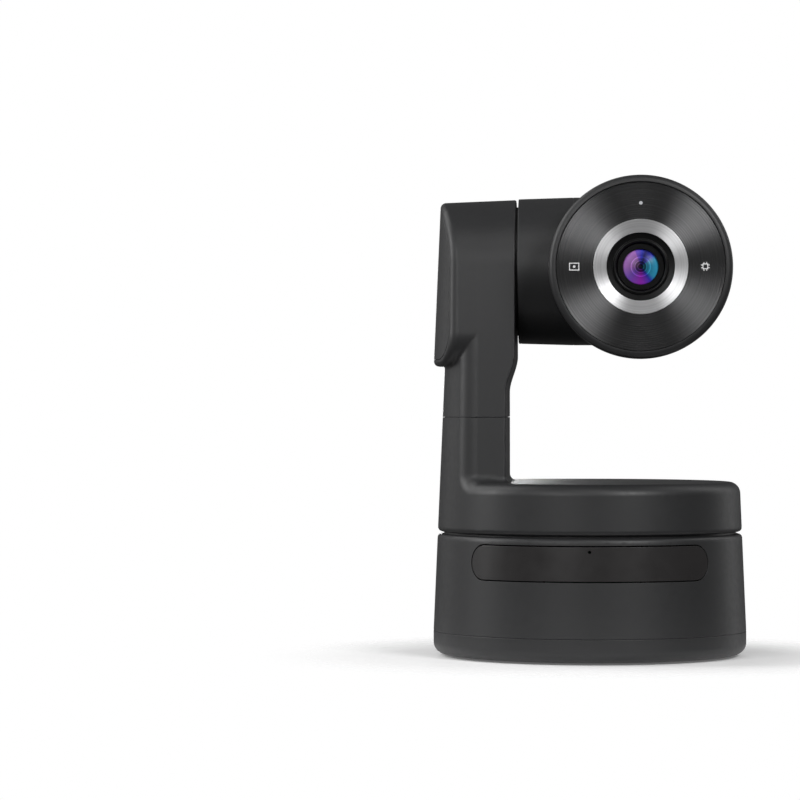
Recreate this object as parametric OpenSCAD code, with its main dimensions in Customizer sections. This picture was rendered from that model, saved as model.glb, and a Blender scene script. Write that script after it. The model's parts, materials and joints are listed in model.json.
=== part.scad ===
// Compact pan-tilt-zoom conference camera: a round base, a turntable that carries one
// side arm, and a camera head that tilts on the arm. Millimetres, +Z up. The lens looks
// along -Y. The origin is on the pan axis, at the surface that the camera stands on.

/* [Housing] */
// Widest diameter of the base, at the seam of the bottom cover
base_d = 120; // [118:0.5:124]
// Inward slope of the base, turntable and arm, in mm per mm of height
draft = 0.043; // [0.04:0.001:0.046]
// Wall thickness of the moulded shells
wall = 2.2; // [1.8:0.1:2.4]
// Height of the seam between bottom cover and base shell
seam_z = 9.6; // [9.2:0.1:10]
// Height of the base shell's top deck
deck_z = 46.8; // [46.6:0.1:47]
// Gap between the deck and the turntable
pan_gap = 0.8; // [0.6:0.1:1]
// Height of the turntable's flat top
table_z = 66.6; // [66:0.1:67.4]

/* [Arm] */
// Height of the seam in the arm
arm_seam_z = 91.4; // [88:0.2:94]
// Radius of the arm's round top, about the tilt axis
arch_r = 27.5; // [27.2:0.1:27.8]
// Distance from the pan axis to the arm's inner face at the tilt axis
arm_face = 28; // [27.8:0.1:28.2]
// How far the pod stands out of the arm
pod_proud = 4.3; // [3.8:0.1:4.6]
// Width of the groove round the pod's cover
pod_groove = 0.15; // [0.1:0.05:0.25]

/* [Head] */
// Height of the tilt axis
tilt_z = 147.4; // [146:0.1:149]
// Distance from the pan axis to the lens axis
head_x = 19; // [18.6:0.1:19.4]
// Largest radius of the head
head_r = 34.2; // [33.8:0.1:34.4]
// Distance from the tilt axis forward to the head's front edge
head_front = 49; // [48.8:0.1:49.2]
// Distance from the tilt axis back to the head's rear end
head_rear = 54.2; // [53.6:0.1:54.6]
// Radius of the neck where it leaves the arm
neck_r = 27.8; // [27.5:0.1:27.9]

/* [Drives] */
// Module of the pan gears
pan_module = 0.8; // [0.8:0.1:0.8]
// Teeth of the pan gear
pan_teeth = 64; // [64:4:64]
// Module of the tilt gears
tilt_module = 0.6; // [0.6:0.1:0.6]
// Teeth of the tilt gear
tilt_teeth = 70; // [70:2:70]
// Teeth of both pinions
pinion_teeth = 16; // [16:2:16]
// Backlash of each gear pair
backlash = 0.12; // [0.1:0.01:0.16]

/* [Infrared window] */
// Half of the window's angle, seen from the pan axis
window_angle = 48.6; // [46:0.2:50]
// Height of the window's lower edge
window_z = 30.7; // [29.5:0.1:31.2]
// Height of the window itself
window_h = 13.1; // [12.5:0.1:13.3]

/* [Ports] */
// Width of the recess that holds the ports
port_w = 34.8; // [34:0.2:35.4]
// Height of the recess's lower edge
port_z = 12; // [11.8:0.1:12.4]
// Height of the recess itself
port_h = 28; // [27.4:0.1:28.2]
// Distance from the pan axis to the port panel's face
port_y = 50; // [49.8:0.1:50.2]

/* [Hidden] */
$fn = 96;

// colours
charcoal = "#3b3c3f";
soft_black = "#17181a";
steel = "#a9adb2";
brass = "#b99a55";
board_green = "#1f5a3c";

// base
foot_h = 0.6;
floor_z = 3;
bottom_edge_r = 4.5;
deck_edge_r = 1.6;
deck_under = deck_z - 2.4;
cover_screw_ring = 50;
foot_ring_in = 38;
foot_ring_out = 43;
insert_r = 6;
insert_len = 8;
tripod_thread_r = 3.175;
post_r = 3.6;
collar_out = 55.9;
collar_in = 54.2;
collar_h = 2.6;
deck_hole_r = 14.4;

// boards
board_t = 1.6;
main_board_z = 12;
main_board_r = 44;
board_hole = 30;
io_board_y = 34.4;

// chassis and pan bearing
chassis_z = 38.4;
chassis_t = 3;
chassis_r = 45.5;
bearing_h = 7;
pan_race_in = 10;
pan_race_out = 16;
pan_ball_r = 1.6;
cup_wall = 3;
cup_lip_r = 14.2;
chassis_screw_ring = 41;

// turntable
plate_z = 56;
plate_t = 2;
plate_r = 54.6;
shoulder_r = 11.4;
cable_bore_r = 6.5;
hub_bottom = 35;
table_bottom = deck_z + pan_gap;
table_edge_r = 4.2;
table_under = table_z - 2.4;
table_screw_ring = 46;
pan_gear_z = 51;
pan_axis_gap = pan_module * (pan_teeth + pinion_teeth) / 2;
stop_ring = 48;
flag_ring = 40;

// arm
side_slope = 0.07;
pod_r = 26.3;
pod_corner_r = 13;
pod_corner_y = 15.4;
pod_bottom = 110.8;
pod_rim = 2.5;
arm_opening_r = 25.1;
frame_x = -43;
frame_t = 2.5;
foot_t = 2;
tilt_axis_gap = tilt_module * (tilt_teeth + pinion_teeth) / 2;
tilt_motor_z = tilt_z - tilt_axis_gap;
tilt_race_in = 7.5;
tilt_race_out = 12;
tilt_race_h = 5;
tilt_ball_r = 1.2;
tilt_race_x = frame_x + frame_t - tilt_race_h;
tilt_gear_x = -38;
flange_x = -33;
journal_x = -30.6;
journal_r = 24.7;

// head
tilt_gap = 0.7;
neck_x = -arm_face + tilt_gap;
neck_seam_x = -6.2;
neck_end_r = 28.4;
side_arc = 560;
side_arc_h = 42;
dome_r = 85;
corner_r = 11.5;
bezel_h = 41.7;
bezel_edge_r = 2.5;
face_h = 48.6;
face_t = 1.4;
face_bore = 17.65;
hood_r = 12.64;
lip_r = 10.4;
light_z = 23.6;
barrel_r = 8.6;
barrel_bore = 7.4;
sensor_h = 12.4;
sensor_post = 19;
side_hole_y = -30.4;
side_hole_z = 129;
side_hole_r = 4.8;
e = 0.01;

// radius of the tapered body at a height
function body_r(z) = base_d / 2 - (z - seam_z) * draft;

// half-width of the arm at a height
function arm_half(z) = arch_r + (tilt_z - z) * side_slope;

// points along an arc about c, from angle a0 to a1
function arc(c, r, a0, a1, n) =
    [for (i = [0 : n]) c + r * [cos(a0 + (a1 - a0) * i / n), sin(a0 + (a1 - a0) * i / n)]];

// meeting point of two circles, the one to the left when facing from c1 to c2
function circles_meet(c1, r1, c2, r2) =
    let (d = norm(c2 - c1), a = (r1 * r1 - r2 * r2 + d * d) / (2 * d), u = (c2 - c1) / d,
         h = sqrt(r1 * r1 - a * a))
    c1 + a * u + h * [-u[1], u[0]];

// involute angle at radius r over a base circle rb, in degrees
function involute(rb, r) = let (a = acos(min(1, rb / r))) tan(a) * 180 / PI - a;

// one flank of a tooth: [angle, radius] from the root to the tip
function flank(teeth, m, addendum) =
    let (rp = teeth * m / 2, rb = rp * cos(20), root = rp - 1.1 * m, tip = rp + addendum * m,
         low = max(rb, root), half = 90 / teeth - backlash / 4 / rp * 180 / PI + involute(rb, rp))
    concat([[half - involute(rb, low), root]],
           [for (i = [0 : 4]) let (r = low + (tip - low) * i / 4) [half - involute(rb, r), r]]);

// spur gear outline with a tooth centred on angle 0
module gear_2d(teeth, m, addendum = 0.8) {
    f = flank(teeth, m, addendum);
    n = len(f);
    points = [for (t = [0 : teeth - 1], i = [0 : 2 * n - 1])
        let (p = i < n ? f[i] : f[2 * n - 1 - i], a = t * 360 / teeth + (i < n ? -p[0] : p[0]))
        p[1] * [cos(a), sin(a)]];
    polygon(points);
}

// ring standing on z = 0
module ring(r_out, r_in, h) {
    difference() {
        cylinder(r = r_out, h = h);
        translate([0, 0, -1]) cylinder(r = r_in, h = h + 2);
    }
}

// pan-head screw along +Z, its head under z = 0
module screw(shank_r, length, head_r, head_h) {
    difference() {
        union() {
            translate([0, 0, -head_h]) cylinder(r = head_r, h = head_h, $fn = 32);
            translate([0, 0, -e]) cylinder(r = shank_r, h = length + e, $fn = 32);
        }
        translate([0, 0, -head_h - 1]) cylinder(r = head_r * 0.5, h = 1 + head_h * 0.6, $fn = 6);
    }
}

// copies at equal angles round the pan axis
module around(radius, angles) {
    for (a = angles) rotate([0, 0, a]) translate([radius, 0, 0]) children();
}

// copies at four corners
module corners(dx, dy) {
    for (sx = [-1, 1], sy = [-1, 1]) translate([sx * dx, sy * dy, 0]) children();
}

// rectangle with round corners, centred
module rounded_rect(w, h, r) {
    square([w - 2 * r, h], center = true);
    square([w, h - 2 * r], center = true);
    corners(w / 2 - r, h / 2 - r) circle(r);
}

// outer race of a deep groove bearing, standing on z = 0
module race_outer(r_in, r_out, h, ball_r) {
    pitch = (r_in + r_out) / 2;
    rotate_extrude() difference() {
        translate([pitch + ball_r / 2, 0]) square([r_out - pitch - ball_r / 2, h]);
        translate([pitch, h / 2]) circle(ball_r + 0.03, $fn = 48);
    }
}

// inner race of a deep groove bearing, standing on z = 0
module race_inner(r_in, r_out, h, ball_r) {
    pitch = (r_in + r_out) / 2;
    rotate_extrude() difference() {
        translate([r_in, 0]) square([pitch - ball_r / 2 - r_in, h]);
        translate([pitch, h / 2]) circle(ball_r + 0.03, $fn = 48);
    }
}

// balls of a bearing that stands on z = 0
module balls(r_in, r_out, h, ball_r, count) {
    around((r_in + r_out) / 2, [for (i = [0 : count - 1]) i * 360 / count])
        translate([0, 0, h / 2]) sphere(ball_r, $fn = 48);
}

// places children on the tilt axis, their +Z along the row's +X
module on_tilt_axis() {
    translate([0, 0, tilt_z]) rotate([0, 90, 0]) children();
}

// places children on the lens axis, their +Z forward along the row's -Y
module on_lens_axis() {
    translate([head_x, 0, tilt_z]) rotate([90, 0, 0]) children();
}

// places children on the pan motor's axis
module at_pan_motor() {
    translate([pan_axis_gap, 0, 0]) children();
}

// places children on the tilt motor's axis, their +Z along the row's +X
module at_tilt_motor() {
    translate([0, 0, tilt_motor_z]) rotate([0, 90, 0]) children();
}

// slice of the tapered body between two heights
module body_cone(z0, z1, inset = 0) {
    rotate_extrude($fn = 128)
        polygon([[0, z0], [body_r(z0) - inset, z0], [body_r(z1) - inset, z1], [0, z1]]);
}

// ---- base ----

module bottom_cover() {
    top_r = body_r(seam_z);
    edge_z = foot_h + bottom_edge_r;
    color(charcoal) difference() {
        union() {
            difference() {
                rotate_extrude($fn = 128) {
                    translate([0, edge_z]) square([top_r, seam_z - edge_z]);
                    translate([0, foot_h]) square([top_r - bottom_edge_r, bottom_edge_r + e]);
                    translate([top_r - bottom_edge_r, edge_z]) circle(bottom_edge_r);
                }
                translate([0, 0, floor_z]) cylinder(r = top_r - wall - 0.2, h = 20, $fn = 128);
                translate([0, 0, seam_z]) cylinder(r = 100, h = 20);
            }
            translate([0, 0, seam_z - 2]) ring(top_r - wall - 0.2, top_r - wall - 1.4, 3.4);
            around(cover_screw_ring, [45 : 90 : 315]) translate([0, 0, floor_z - e])
                cylinder(r = 4.4, h = seam_z - floor_z);
            corners(board_hole, board_hole) translate([0, 0, floor_z - e])
                cylinder(r = 3, h = main_board_z - floor_z + e);
            translate([0, 0, floor_z - e]) cylinder(r = 9, h = seam_z - floor_z);
        }
        around(cover_screw_ring, [45 : 90 : 315]) {
            cylinder(r = 1.6, h = 20);
            cylinder(r = 3.1, h = 2.8);
        }
        corners(board_hole, board_hole) translate([0, 0, floor_z + 3]) cylinder(r = 1.1, h = 20);
        cylinder(r = insert_r, h = foot_h + insert_len);
        translate([0, 0, foot_h - 1]) ring(foot_ring_out, foot_ring_in, 2);
        port_prism(70, 40, 2.3);
    }
}

module foot_ring() {
    color(soft_black) ring(foot_ring_out, foot_ring_in, foot_h + 1);
}

module tripod_insert() {
    color(brass) difference() {
        translate([0, 0, foot_h]) cylinder(r = insert_r, h = insert_len);
        cylinder(r = tripod_thread_r, h = foot_h + insert_len - 1);
    }
}

module cover_screws() {
    color(steel) around(cover_screw_ring, [45 : 90 : 315]) translate([0, 0, 2.8])
        screw(1.45, 16, 2.9, 1.9);
}

// outline of the window as seen from the front, in X and Z, with round ends
module window_outline(grow) {
    half = window_h / 2;
    mid = window_z + half;
    r = body_r(mid);
    straight = window_angle - half / r * 180 / PI;
    right = [for (t = [-90 : 7.5 : 90])
        [r * sin(straight + (half + grow) * cos(t) / r * 180 / PI), mid + (half + grow) * sin(t)]];
    left = [for (i = [len(right) - 1 : -1 : 0]) [-right[i][0], right[i][1]]];
    polygon(concat(right, left));
}

// part of the window between two depths under the base's surface
module window_solid(grow, depth_out, depth_in) {
    intersection() {
        rotate_extrude($fn = 128) polygon([
            [body_r(25) - depth_in, 25], [body_r(25) - depth_out, 25],
            [body_r(46) - depth_out, 46], [body_r(46) - depth_in, 46]]);
        rotate([90, 0, 0]) linear_extrude(80) window_outline(grow);
    }
}

// outline of the port recess, extruded back from y1 over a length
module port_prism(y1, length, grow = 0) {
    translate([0, y1, port_z + port_h / 2]) rotate([90, 0, 0]) linear_extrude(length)
        rounded_rect(port_w + 2 * grow, port_h + 2 * grow, 3.5 + grow);
}

module base_shell() {
    edge_z = deck_z - deck_edge_r;
    color(charcoal) difference() {
        union() {
            difference() {
                rotate_extrude($fn = 128) {
                    polygon([[0, seam_z], [body_r(seam_z), seam_z], [body_r(edge_z), edge_z],
                             [0, edge_z]]);
                    translate([0, edge_z - e])
                        square([body_r(edge_z) - deck_edge_r, deck_edge_r + e]);
                    translate([body_r(edge_z) - deck_edge_r, edge_z]) circle(deck_edge_r);
                }
                body_cone(seam_z - 1, deck_under, wall);
            }
            intersection() {
                port_prism(70, 70 - port_y + 1.8, 2);
                body_cone(seam_z, deck_z - 2, 0.5);
            }
            translate([0, 0, deck_z - e]) ring(collar_out, collar_in, collar_h);
            around(cover_screw_ring, [45 : 90 : 315]) translate([0, 0, seam_z])
                cylinder(r = post_r, h = deck_under - seam_z + e);
            around(chassis_screw_ring, [60, 120, 240, 300])
                translate([0, 0, chassis_z + chassis_t])
                cylinder(r = post_r, h = deck_under - chassis_z - chassis_t + e);
            translate([stop_ring - 2, -2, deck_z - e]) cube([4, 4, 5.2]);
        }
        window_solid(0.15, -1, wall + 1);
        port_prism(70, 40);
        around(cover_screw_ring, [45 : 90 : 315]) cylinder(r = 1.5, h = 20);
        around(chassis_screw_ring, [60, 120, 240, 300]) cylinder(r = 1.3, h = deck_under);
        cylinder(r = deck_hole_r, h = 60);
        at_pan_motor() cylinder(r = 7.8, h = 60);
    }
}

module ir_window() {
    color("#1c1413") difference() {
        union() {
            window_solid(0, 0.15, wall);
            window_solid(1.2, wall, wall + 1);
        }
        translate([-100, -100, deck_under - 0.1]) cube([200, 200, 20]);
        translate([0, -40, window_z + window_h - 2.1]) rotate([90, 0, 0])
            cylinder(r = 0.45, h = 30, $fn = 32);
    }
}

module front_board() {
    color(board_green) translate([0, -47, 0]) {
        translate([-25, 0, window_z]) cube([50, 1, 12]);
        translate([-16, -5.4, window_z + 3]) cube([6, 5.5, 6.5]);
        translate([-1.9, -1.1, window_z + window_h - 3.6]) cube([3.8, 1.2, 3]);
        for (x = [12, 17]) translate([x, -1.1, window_z + 5]) cube([1.6, 1.2, 0.8]);
    }
}

module main_board() {
    color(board_green) translate([0, 0, main_board_z]) difference() {
        union() {
            cylinder(r = main_board_r, h = board_t);
            translate([-26, -20, 0]) cube([15, 15, 3.2]);
            translate([-28, 4, 0]) cube([11, 9, 2.8]);
            translate([6, -34, 0]) cube([9, 12, 2.8]);
            for (x = [-8 : 6 : 10]) translate([x, 14, 0]) cylinder(r = 2.4, h = 5, $fn = 32);
            translate([-12, 22, 0]) cube([24, 5, 5.5]);
        }
        corners(board_hole, board_hole) translate([0, 0, -1]) cylinder(r = 1.3, h = 10);
    }
}

module board_screws() {
    color(steel) corners(board_hole, board_hole) translate([0, 0, main_board_z + board_t])
        mirror([0, 0, 1]) screw(1.05, 5, 2.2, 1.5);
}

// port outlines in the panel's plane, seen from behind the camera
port_low = port_z + 8.5;
port_high = port_z + 19;

module usb_c_outline(grow) {
    translate([9, port_low]) {
        square([5.8, 3.4 + 2 * grow], center = true);
        for (s = [-1, 1]) translate([s * 2.9, 0]) circle(1.7 + grow, $fn = 32);
    }
}

module hdmi_outline(grow) {
    translate([6, port_high]) polygon([
        [-7.5 - grow, 2.9 + grow], [7.5 + grow, 2.9 + grow], [7.5 + grow, -1],
        [5.6 + grow, -2.9 - grow], [-5.6 - grow, -2.9 - grow], [-7.5 - grow, -1]]);
}

module dc_outline(grow) {
    translate([-9, port_low]) circle(4.2 + grow);
}

module audio_outline(grow) {
    translate([-10.5, port_high]) circle(3.4 + grow);
}

// extrudes an outline of the port panel between two distances from the pan axis
module port_extrude(y0, y1) {
    translate([0, y1, 0]) rotate([90, 0, 0]) linear_extrude(y1 - y0) children();
}

module io_panel() {
    color(soft_black) difference() {
        union() {
            port_prism(port_y, 1.8, -0.1);
            port_prism(port_y - 1.8, 1.4, 1.2);
        }
        port_extrude(port_y - 10, port_y + 5) {
            usb_c_outline(0.1);
            hdmi_outline(0.1);
            dc_outline(0.1);
            audio_outline(0.1);
        }
    }
}

module io_board() {
    color(board_green) translate([-17.5, io_board_y, port_z + 3]) cube([35, board_t, 22]);
}

module usb_c_socket() {
    y0 = io_board_y + board_t;
    color(steel) {
        difference() {
            port_extrude(y0, port_y) usb_c_outline(0);
            port_extrude(y0 + 6, port_y + 1) usb_c_outline(-0.4);
        }
        translate([9 - 3.2, y0 + 5, port_low - 0.35]) cube([6.4, port_y - y0 - 6, 0.7]);
    }
}

module hdmi_socket() {
    y0 = io_board_y + board_t;
    color(steel) {
        difference() {
            port_extrude(y0, port_y) hdmi_outline(0);
            port_extrude(y0 + 2, port_y + 1) hdmi_outline(-0.5);
        }
        translate([0.5, y0 + 1, port_high + 0.4]) cube([11, port_y - y0 - 3, 1.2]);
    }
}

module dc_socket() {
    y0 = io_board_y + board_t;
    color(soft_black) {
        difference() {
            union() {
                port_extrude(y0, port_y - 3.3) translate([-9, port_low])
                    square([9.4, 9], center = true);
                port_extrude(port_y - 3.4, port_y) dc_outline(0);
            }
            port_extrude(y0 + 2, port_y + 1) dc_outline(-1.2);
        }
        port_extrude(y0 + 1, port_y - 1) dc_outline(-3.2);
    }
}

module audio_socket() {
    y0 = io_board_y + board_t;
    color(soft_black) difference() {
        union() {
            port_extrude(y0, port_y - 3.3) translate([-10.5, port_high])
                square([7, 6.6], center = true);
            port_extrude(port_y - 3.4, port_y) audio_outline(0);
        }
        port_extrude(y0 + 1, port_y + 1) audio_outline(-1.65);
    }
}

module chassis_plate() {
    cup_z = deck_under - bearing_h;
    color(steel) difference() {
        union() {
            translate([0, 0, chassis_z]) cylinder(r = chassis_r, h = chassis_t);
            translate([0, 0, cup_z - 1]) cylinder(r = pan_race_out + cup_wall, h = bearing_h + 1);
        }
        translate([0, 0, cup_z]) cylinder(r = pan_race_out, h = 20);
        cylinder(r = cup_lip_r, h = 60);
        at_pan_motor() {
            cylinder(r = 7.8, h = 60);
            for (s = [-1, 1]) translate([0, s * 16, 0]) cylinder(r = 1.3, h = 60);
        }
        around(chassis_screw_ring, [60, 120, 240, 300]) cylinder(r = 1.3, h = 60);
    }
}

module chassis_screws() {
    color(steel) {
        around(chassis_screw_ring, [60, 120, 240, 300]) translate([0, 0, chassis_z])
            screw(1.25, 5.6, 2.3, 1.6);
        for (s = [-1, 1]) at_pan_motor() translate([0, s * 16, chassis_z - 1.2])
            screw(1.25, 4, 2.3, 1.6);
    }
}

module pan_bearing_outer() {
    color(steel) translate([0, 0, deck_under - bearing_h])
        race_outer(pan_race_in, pan_race_out, bearing_h, pan_ball_r);
}

module pan_bearing_balls() {
    color("silver") translate([0, 0, deck_under - bearing_h])
        balls(pan_race_in, pan_race_out, bearing_h, pan_ball_r, 14);
}

// round stepper motor with two ears, its face on z = 0 and its body below
module motor(r, length, ear, bore) {
    difference() {
        union() {
            translate([0, 0, -length]) cylinder(r = r, h = length);
            for (s = [-1, 1]) translate([0, s * ear, -1.2]) cylinder(r = 3.2, h = 1.2);
            translate([-3.2, -ear, -1.2]) cube([6.4, 2 * ear, 1.2]);
        }
        for (s = [-1, 1]) translate([0, s * ear, -2]) cylinder(r = 1.3, h = 3);
        translate([0, 0, -length + 1]) cylinder(r = bore, h = length);
    }
}

module pan_motor() {
    color(steel) at_pan_motor() translate([0, 0, chassis_z]) motor(12, 19, 16, 1.55);
}

module home_sensor() {
    color(soft_black) rotate([0, 0, 135]) difference() {
        translate([flag_ring - 3, -3, deck_z]) cube([7, 6, 5.2]);
        translate([flag_ring - 0.6, -4, deck_z + 1.6]) cube([2, 8, 5]);
    }
}

// ---- turntable ----

// side outline of the arm, in Y and Z: sloping sides under a round top
module arm_side_outline(z0, inset) {
    half = arm_half(z0) - inset;
    polygon(concat([[-half, z0], [half, z0]], arc([0, tilt_z], arch_r - inset, 0, 180, 48)));
}

// front outline of the arm, in X and Z; it widens towards the head by an S-shaped ramp
module arm_front_outline(z0, inset) {
    low = arm_face + 3.3;
    ramp = [for (t = [0 : 0.125 : 1])
        [-low + (low - arm_face) * (1 - cos(180 * t)) / 2 - inset, 101 + 14 * t]];
    polygon(concat([[-70, z0], [-low + 0.9 - inset, z0]], ramp,
                   [[-arm_face - inset, 190], [-70, 190]]));
}

// the arm's outer form, or its cavity when inset
module arm_form(z0, inset) {
    intersection() {
        body_cone(z0, 190, inset);
        translate([-80, 0, 0]) rotate([90, 0, 90]) linear_extrude(80)
            arm_side_outline(z0, inset);
        translate([0, 60, 0]) rotate([90, 0, 0]) linear_extrude(120)
            arm_front_outline(z0, inset);
    }
}

// outline of the pod, in Y and Z: a round top, spreading sides and two round lower corners
module pod_outline(inset) {
    top = [0, tilt_z];
    low = [pod_corner_y, pod_bottom + pod_corner_r];
    d = norm(low - top);
    side = atan2(low[1] - top[1], low[0]) + acos((pod_r - pod_corner_r) / d);
    polygon(concat(
        arc(top, pod_r - inset, side, 180 - side, 30),
        arc([-low[0], low[1]], pod_corner_r - inset, 180 - side, 270, 12),
        arc(low, pod_corner_r - inset, -90, side, 12)));
}

// straight bar with the pod's outline, from outside the arm into its cavity
module pod_bar(inset) {
    translate([-80, 0, 0]) rotate([90, 0, 90]) linear_extrude(36) pod_outline(inset);
}

// the pod between two depths under its own surface
module pod_form(outline_inset, depth_out, depth_in) {
    intersection() {
        difference() {
            body_cone(100, 190, depth_out - pod_proud);
            body_cone(99, 191, depth_in - pod_proud);
        }
        pod_bar(outline_inset);
    }
}

module turntable_shell() {
    z1 = table_bottom + deck_edge_r;
    z2 = table_z - table_edge_r;
    color(charcoal) difference() {
        union() {
            difference() {
                rotate_extrude($fn = 128) {
                    polygon([[0, z1], [body_r(z1), z1], [body_r(z2), z2], [0, z2]]);
                    translate([0, table_bottom])
                        square([body_r(z1) - deck_edge_r, deck_edge_r + e]);
                    translate([body_r(z1) - deck_edge_r, z1]) circle(deck_edge_r);
                    translate([0, z2 - e]) square([body_r(z2) - table_edge_r, table_edge_r + e]);
                    translate([body_r(z2) - table_edge_r, z2]) circle(table_edge_r);
                }
                translate([0, 0, table_bottom - 1])
                    cylinder(r = collar_out + 0.3, h = plate_z - table_bottom + 1, $fn = 128);
                body_cone(plate_z - e, table_under - table_edge_r, wall);
                body_cone(plate_z - e, table_under, wall + table_edge_r);
            }
            difference() {
                arm_form(table_z - 6, 0);
                translate([-100, -100, arm_seam_z]) cube([200, 200, 200]);
                translate([0, 0, 40]) cylinder(r = body_r(table_z) - wall, h = table_under - 40);
            }
            around(table_screw_ring, [45 : 90 : 315]) translate([0, 0, plate_z + plate_t])
                cylinder(r = 3.4, h = table_under - plate_z - plate_t + 0.5);
        }
        arm_form(table_under - 3, wall);
        around(table_screw_ring, [45 : 90 : 315]) translate([0, 0, plate_z])
            cylinder(r = 1.1, h = 7.5);
    }
}

module turntable_plate() {
    color(steel) difference() {
        union() {
            translate([0, 0, plate_z]) cylinder(r = plate_r, h = plate_t, $fn = 128);
            translate([0, 0, deck_under + 0.1])
                cylinder(r = shoulder_r, h = plate_z - deck_under);
            translate([0, 0, hub_bottom]) cylinder(r = pan_race_in, h = plate_z - hub_bottom);
            rotate([0, 0, 180]) translate([stop_ring - 2, -2, plate_z - 6]) cube([4, 4, 6 + e]);
            rotate([0, 0, 135 - 8]) rotate_extrude(angle = 16)
                translate([flag_ring, plate_z - 6]) square([0.8, 6 + e]);
        }
        cylinder(r = cable_bore_r, h = 80);
        around(table_screw_ring, [45 : 90 : 315]) cylinder(r = 1.15, h = 80);
        frame_foot_holes(1.15);
    }
}

// the holes that hold the arm frame's foot
module frame_foot_holes(r) {
    for (x = [-46, -36], y = [-17, 17]) translate([x, y, plate_z - 1]) cylinder(r = r, h = 8);
}

module pan_gear() {
    color(brass) translate([0, 0, pan_gear_z]) difference() {
        linear_extrude(plate_z - pan_gear_z) gear_2d(pan_teeth, pan_module);
        translate([0, 0, -1]) cylinder(r = shoulder_r, h = 20);
    }
}

module pan_bearing_inner() {
    color(steel) translate([0, 0, deck_under - bearing_h])
        race_inner(pan_race_in, pan_race_out, bearing_h, pan_ball_r);
}

module hub_nut() {
    color(steel) difference() {
        translate([0, 0, hub_bottom + 0.2]) ring(12, pan_race_in, 2);
        for (a = [0, 90]) rotate([0, 0, a]) translate([-1, -20, hub_bottom]) cube([2, 40, 1]);
    }
}

module turntable_screws() {
    color(steel) around(table_screw_ring, [45 : 90 : 315]) translate([0, 0, plate_z])
        screw(1.05, 7, 2.2, 1.5);
}

module arm_shell() {
    color(charcoal) difference() {
        union() {
            difference() {
                arm_form(arm_seam_z, 0);
                arm_form(arm_seam_z - 1, wall);
                pod_bar(pod_rim + 1);
            }
            pod_form(0, 0, 6);
        }
        pod_form(pod_rim, -1, 2);
        pod_bar(pod_rim + 2);
        on_tilt_axis() translate([0, 0, -40]) cylinder(r = arm_opening_r, h = 20);
    }
}

module arm_cover() {
    color(charcoal) pod_form(pod_rim + pod_groove, 0, 2);
}

module arm_frame() {
    color(steel) difference() {
        union() {
            translate([-49, -20, plate_z + plate_t]) cube([16, 40, foot_t]);
            translate([frame_x, -18, plate_z + plate_t])
                cube([frame_t, 36, tilt_z - plate_z - plate_t]);
            on_tilt_axis() translate([0, 0, frame_x]) cylinder(r = 18, h = frame_t);
            on_tilt_axis() translate([0, 0, tilt_race_x - 0.6])
                cylinder(r = tilt_race_out + 1.8, h = tilt_race_h + 0.6);
        }
        on_tilt_axis() translate([0, 0, tilt_race_x]) cylinder(r = tilt_race_out, h = 20);
        on_tilt_axis() translate([0, 0, -60]) cylinder(r = 10.6, h = 40);
        at_tilt_motor() {
            translate([0, 0, -60]) cylinder(r = 5.8, h = 40);
            for (s = [-1, 1]) translate([0, s * 15, -60]) cylinder(r = 1.3, h = 40);
        }
        translate([-60, 0, 92]) rotate([0, 90, 0]) cylinder(r = 10, h = 40);
        frame_foot_holes(1.3);
    }
}

module frame_screws() {
    color(steel) {
        for (x = [-46, -36], y = [-17, 17]) translate([x, y, plate_z + plate_t + foot_t])
            mirror([0, 0, 1]) screw(1.1, 4.3, 2.2, 1.6);
        for (s = [-1, 1]) at_tilt_motor() translate([0, s * 15, frame_x + frame_t])
            mirror([0, 0, 1]) screw(1.1, 3.6, 2.2, 1.6);
    }
}

module tilt_bearing_outer() {
    color(steel) on_tilt_axis() translate([0, 0, tilt_race_x])
        race_outer(tilt_race_in, tilt_race_out, tilt_race_h, tilt_ball_r);
}

module tilt_bearing_balls() {
    color("silver") on_tilt_axis() translate([0, 0, tilt_race_x])
        balls(tilt_race_in, tilt_race_out, tilt_race_h, tilt_ball_r, 14);
}

module tilt_motor() {
    color(steel) at_tilt_motor() translate([0, 0, frame_x]) motor(11.6, 9, 15, 1.3);
}

// ---- drives ----

module pan_motor_shaft() {
    color("silver") at_pan_motor() translate([0, 0, chassis_z - 17])
        cylinder(r = 1.5, h = pan_gear_z + 4.6 - chassis_z + 17);
}

module pan_pinion() {
    color(brass) at_pan_motor() translate([0, 0, pan_gear_z - 0.2]) difference() {
        rotate([0, 0, 180 + 180 / pinion_teeth]) linear_extrude(4.8)
            gear_2d(pinion_teeth, pan_module);
        translate([0, 0, -1]) cylinder(r = 1.5, h = 10);
    }
}

module tilt_motor_shaft() {
    color("silver") at_tilt_motor() translate([0, 0, frame_x - 7])
        cylinder(r = 1.25, h = tilt_gear_x + 4.4 - frame_x + 7);
}

module tilt_pinion() {
    color(brass) at_tilt_motor() translate([0, 0, tilt_gear_x - 0.3]) difference() {
        rotate([0, 0, 180 + 180 / pinion_teeth]) linear_extrude(4.6)
            gear_2d(pinion_teeth, tilt_module);
        translate([0, 0, -1]) cylinder(r = 1.25, h = 10);
    }
}

// ---- head ----

// profile of the head as [distance forward, radius], from the rear end to front_h: a flat
// dome and a long side arc, joined by a corner arc that is tangent to both
function head_profile(inset, front_h) =
    let (side = [side_arc_h, head_r - side_arc], dome = [dome_r - head_rear, 0],
         corner = circles_meet(side, side_arc - corner_r, dome, dome_r - corner_r),
         a_dome = atan2(corner[1] - dome[1], corner[0] - dome[0]),
         a_side = atan2(corner[1] - side[1], corner[0] - side[0]),
         a_front = acos((front_h - side_arc_h) / (side_arc - inset)))
    concat(arc(dome, dome_r - inset, 180, a_dome, 4),
           arc(corner, corner_r - inset, a_dome, a_side, 8),
           arc(side, side_arc - inset, a_side, a_front, 8));

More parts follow.
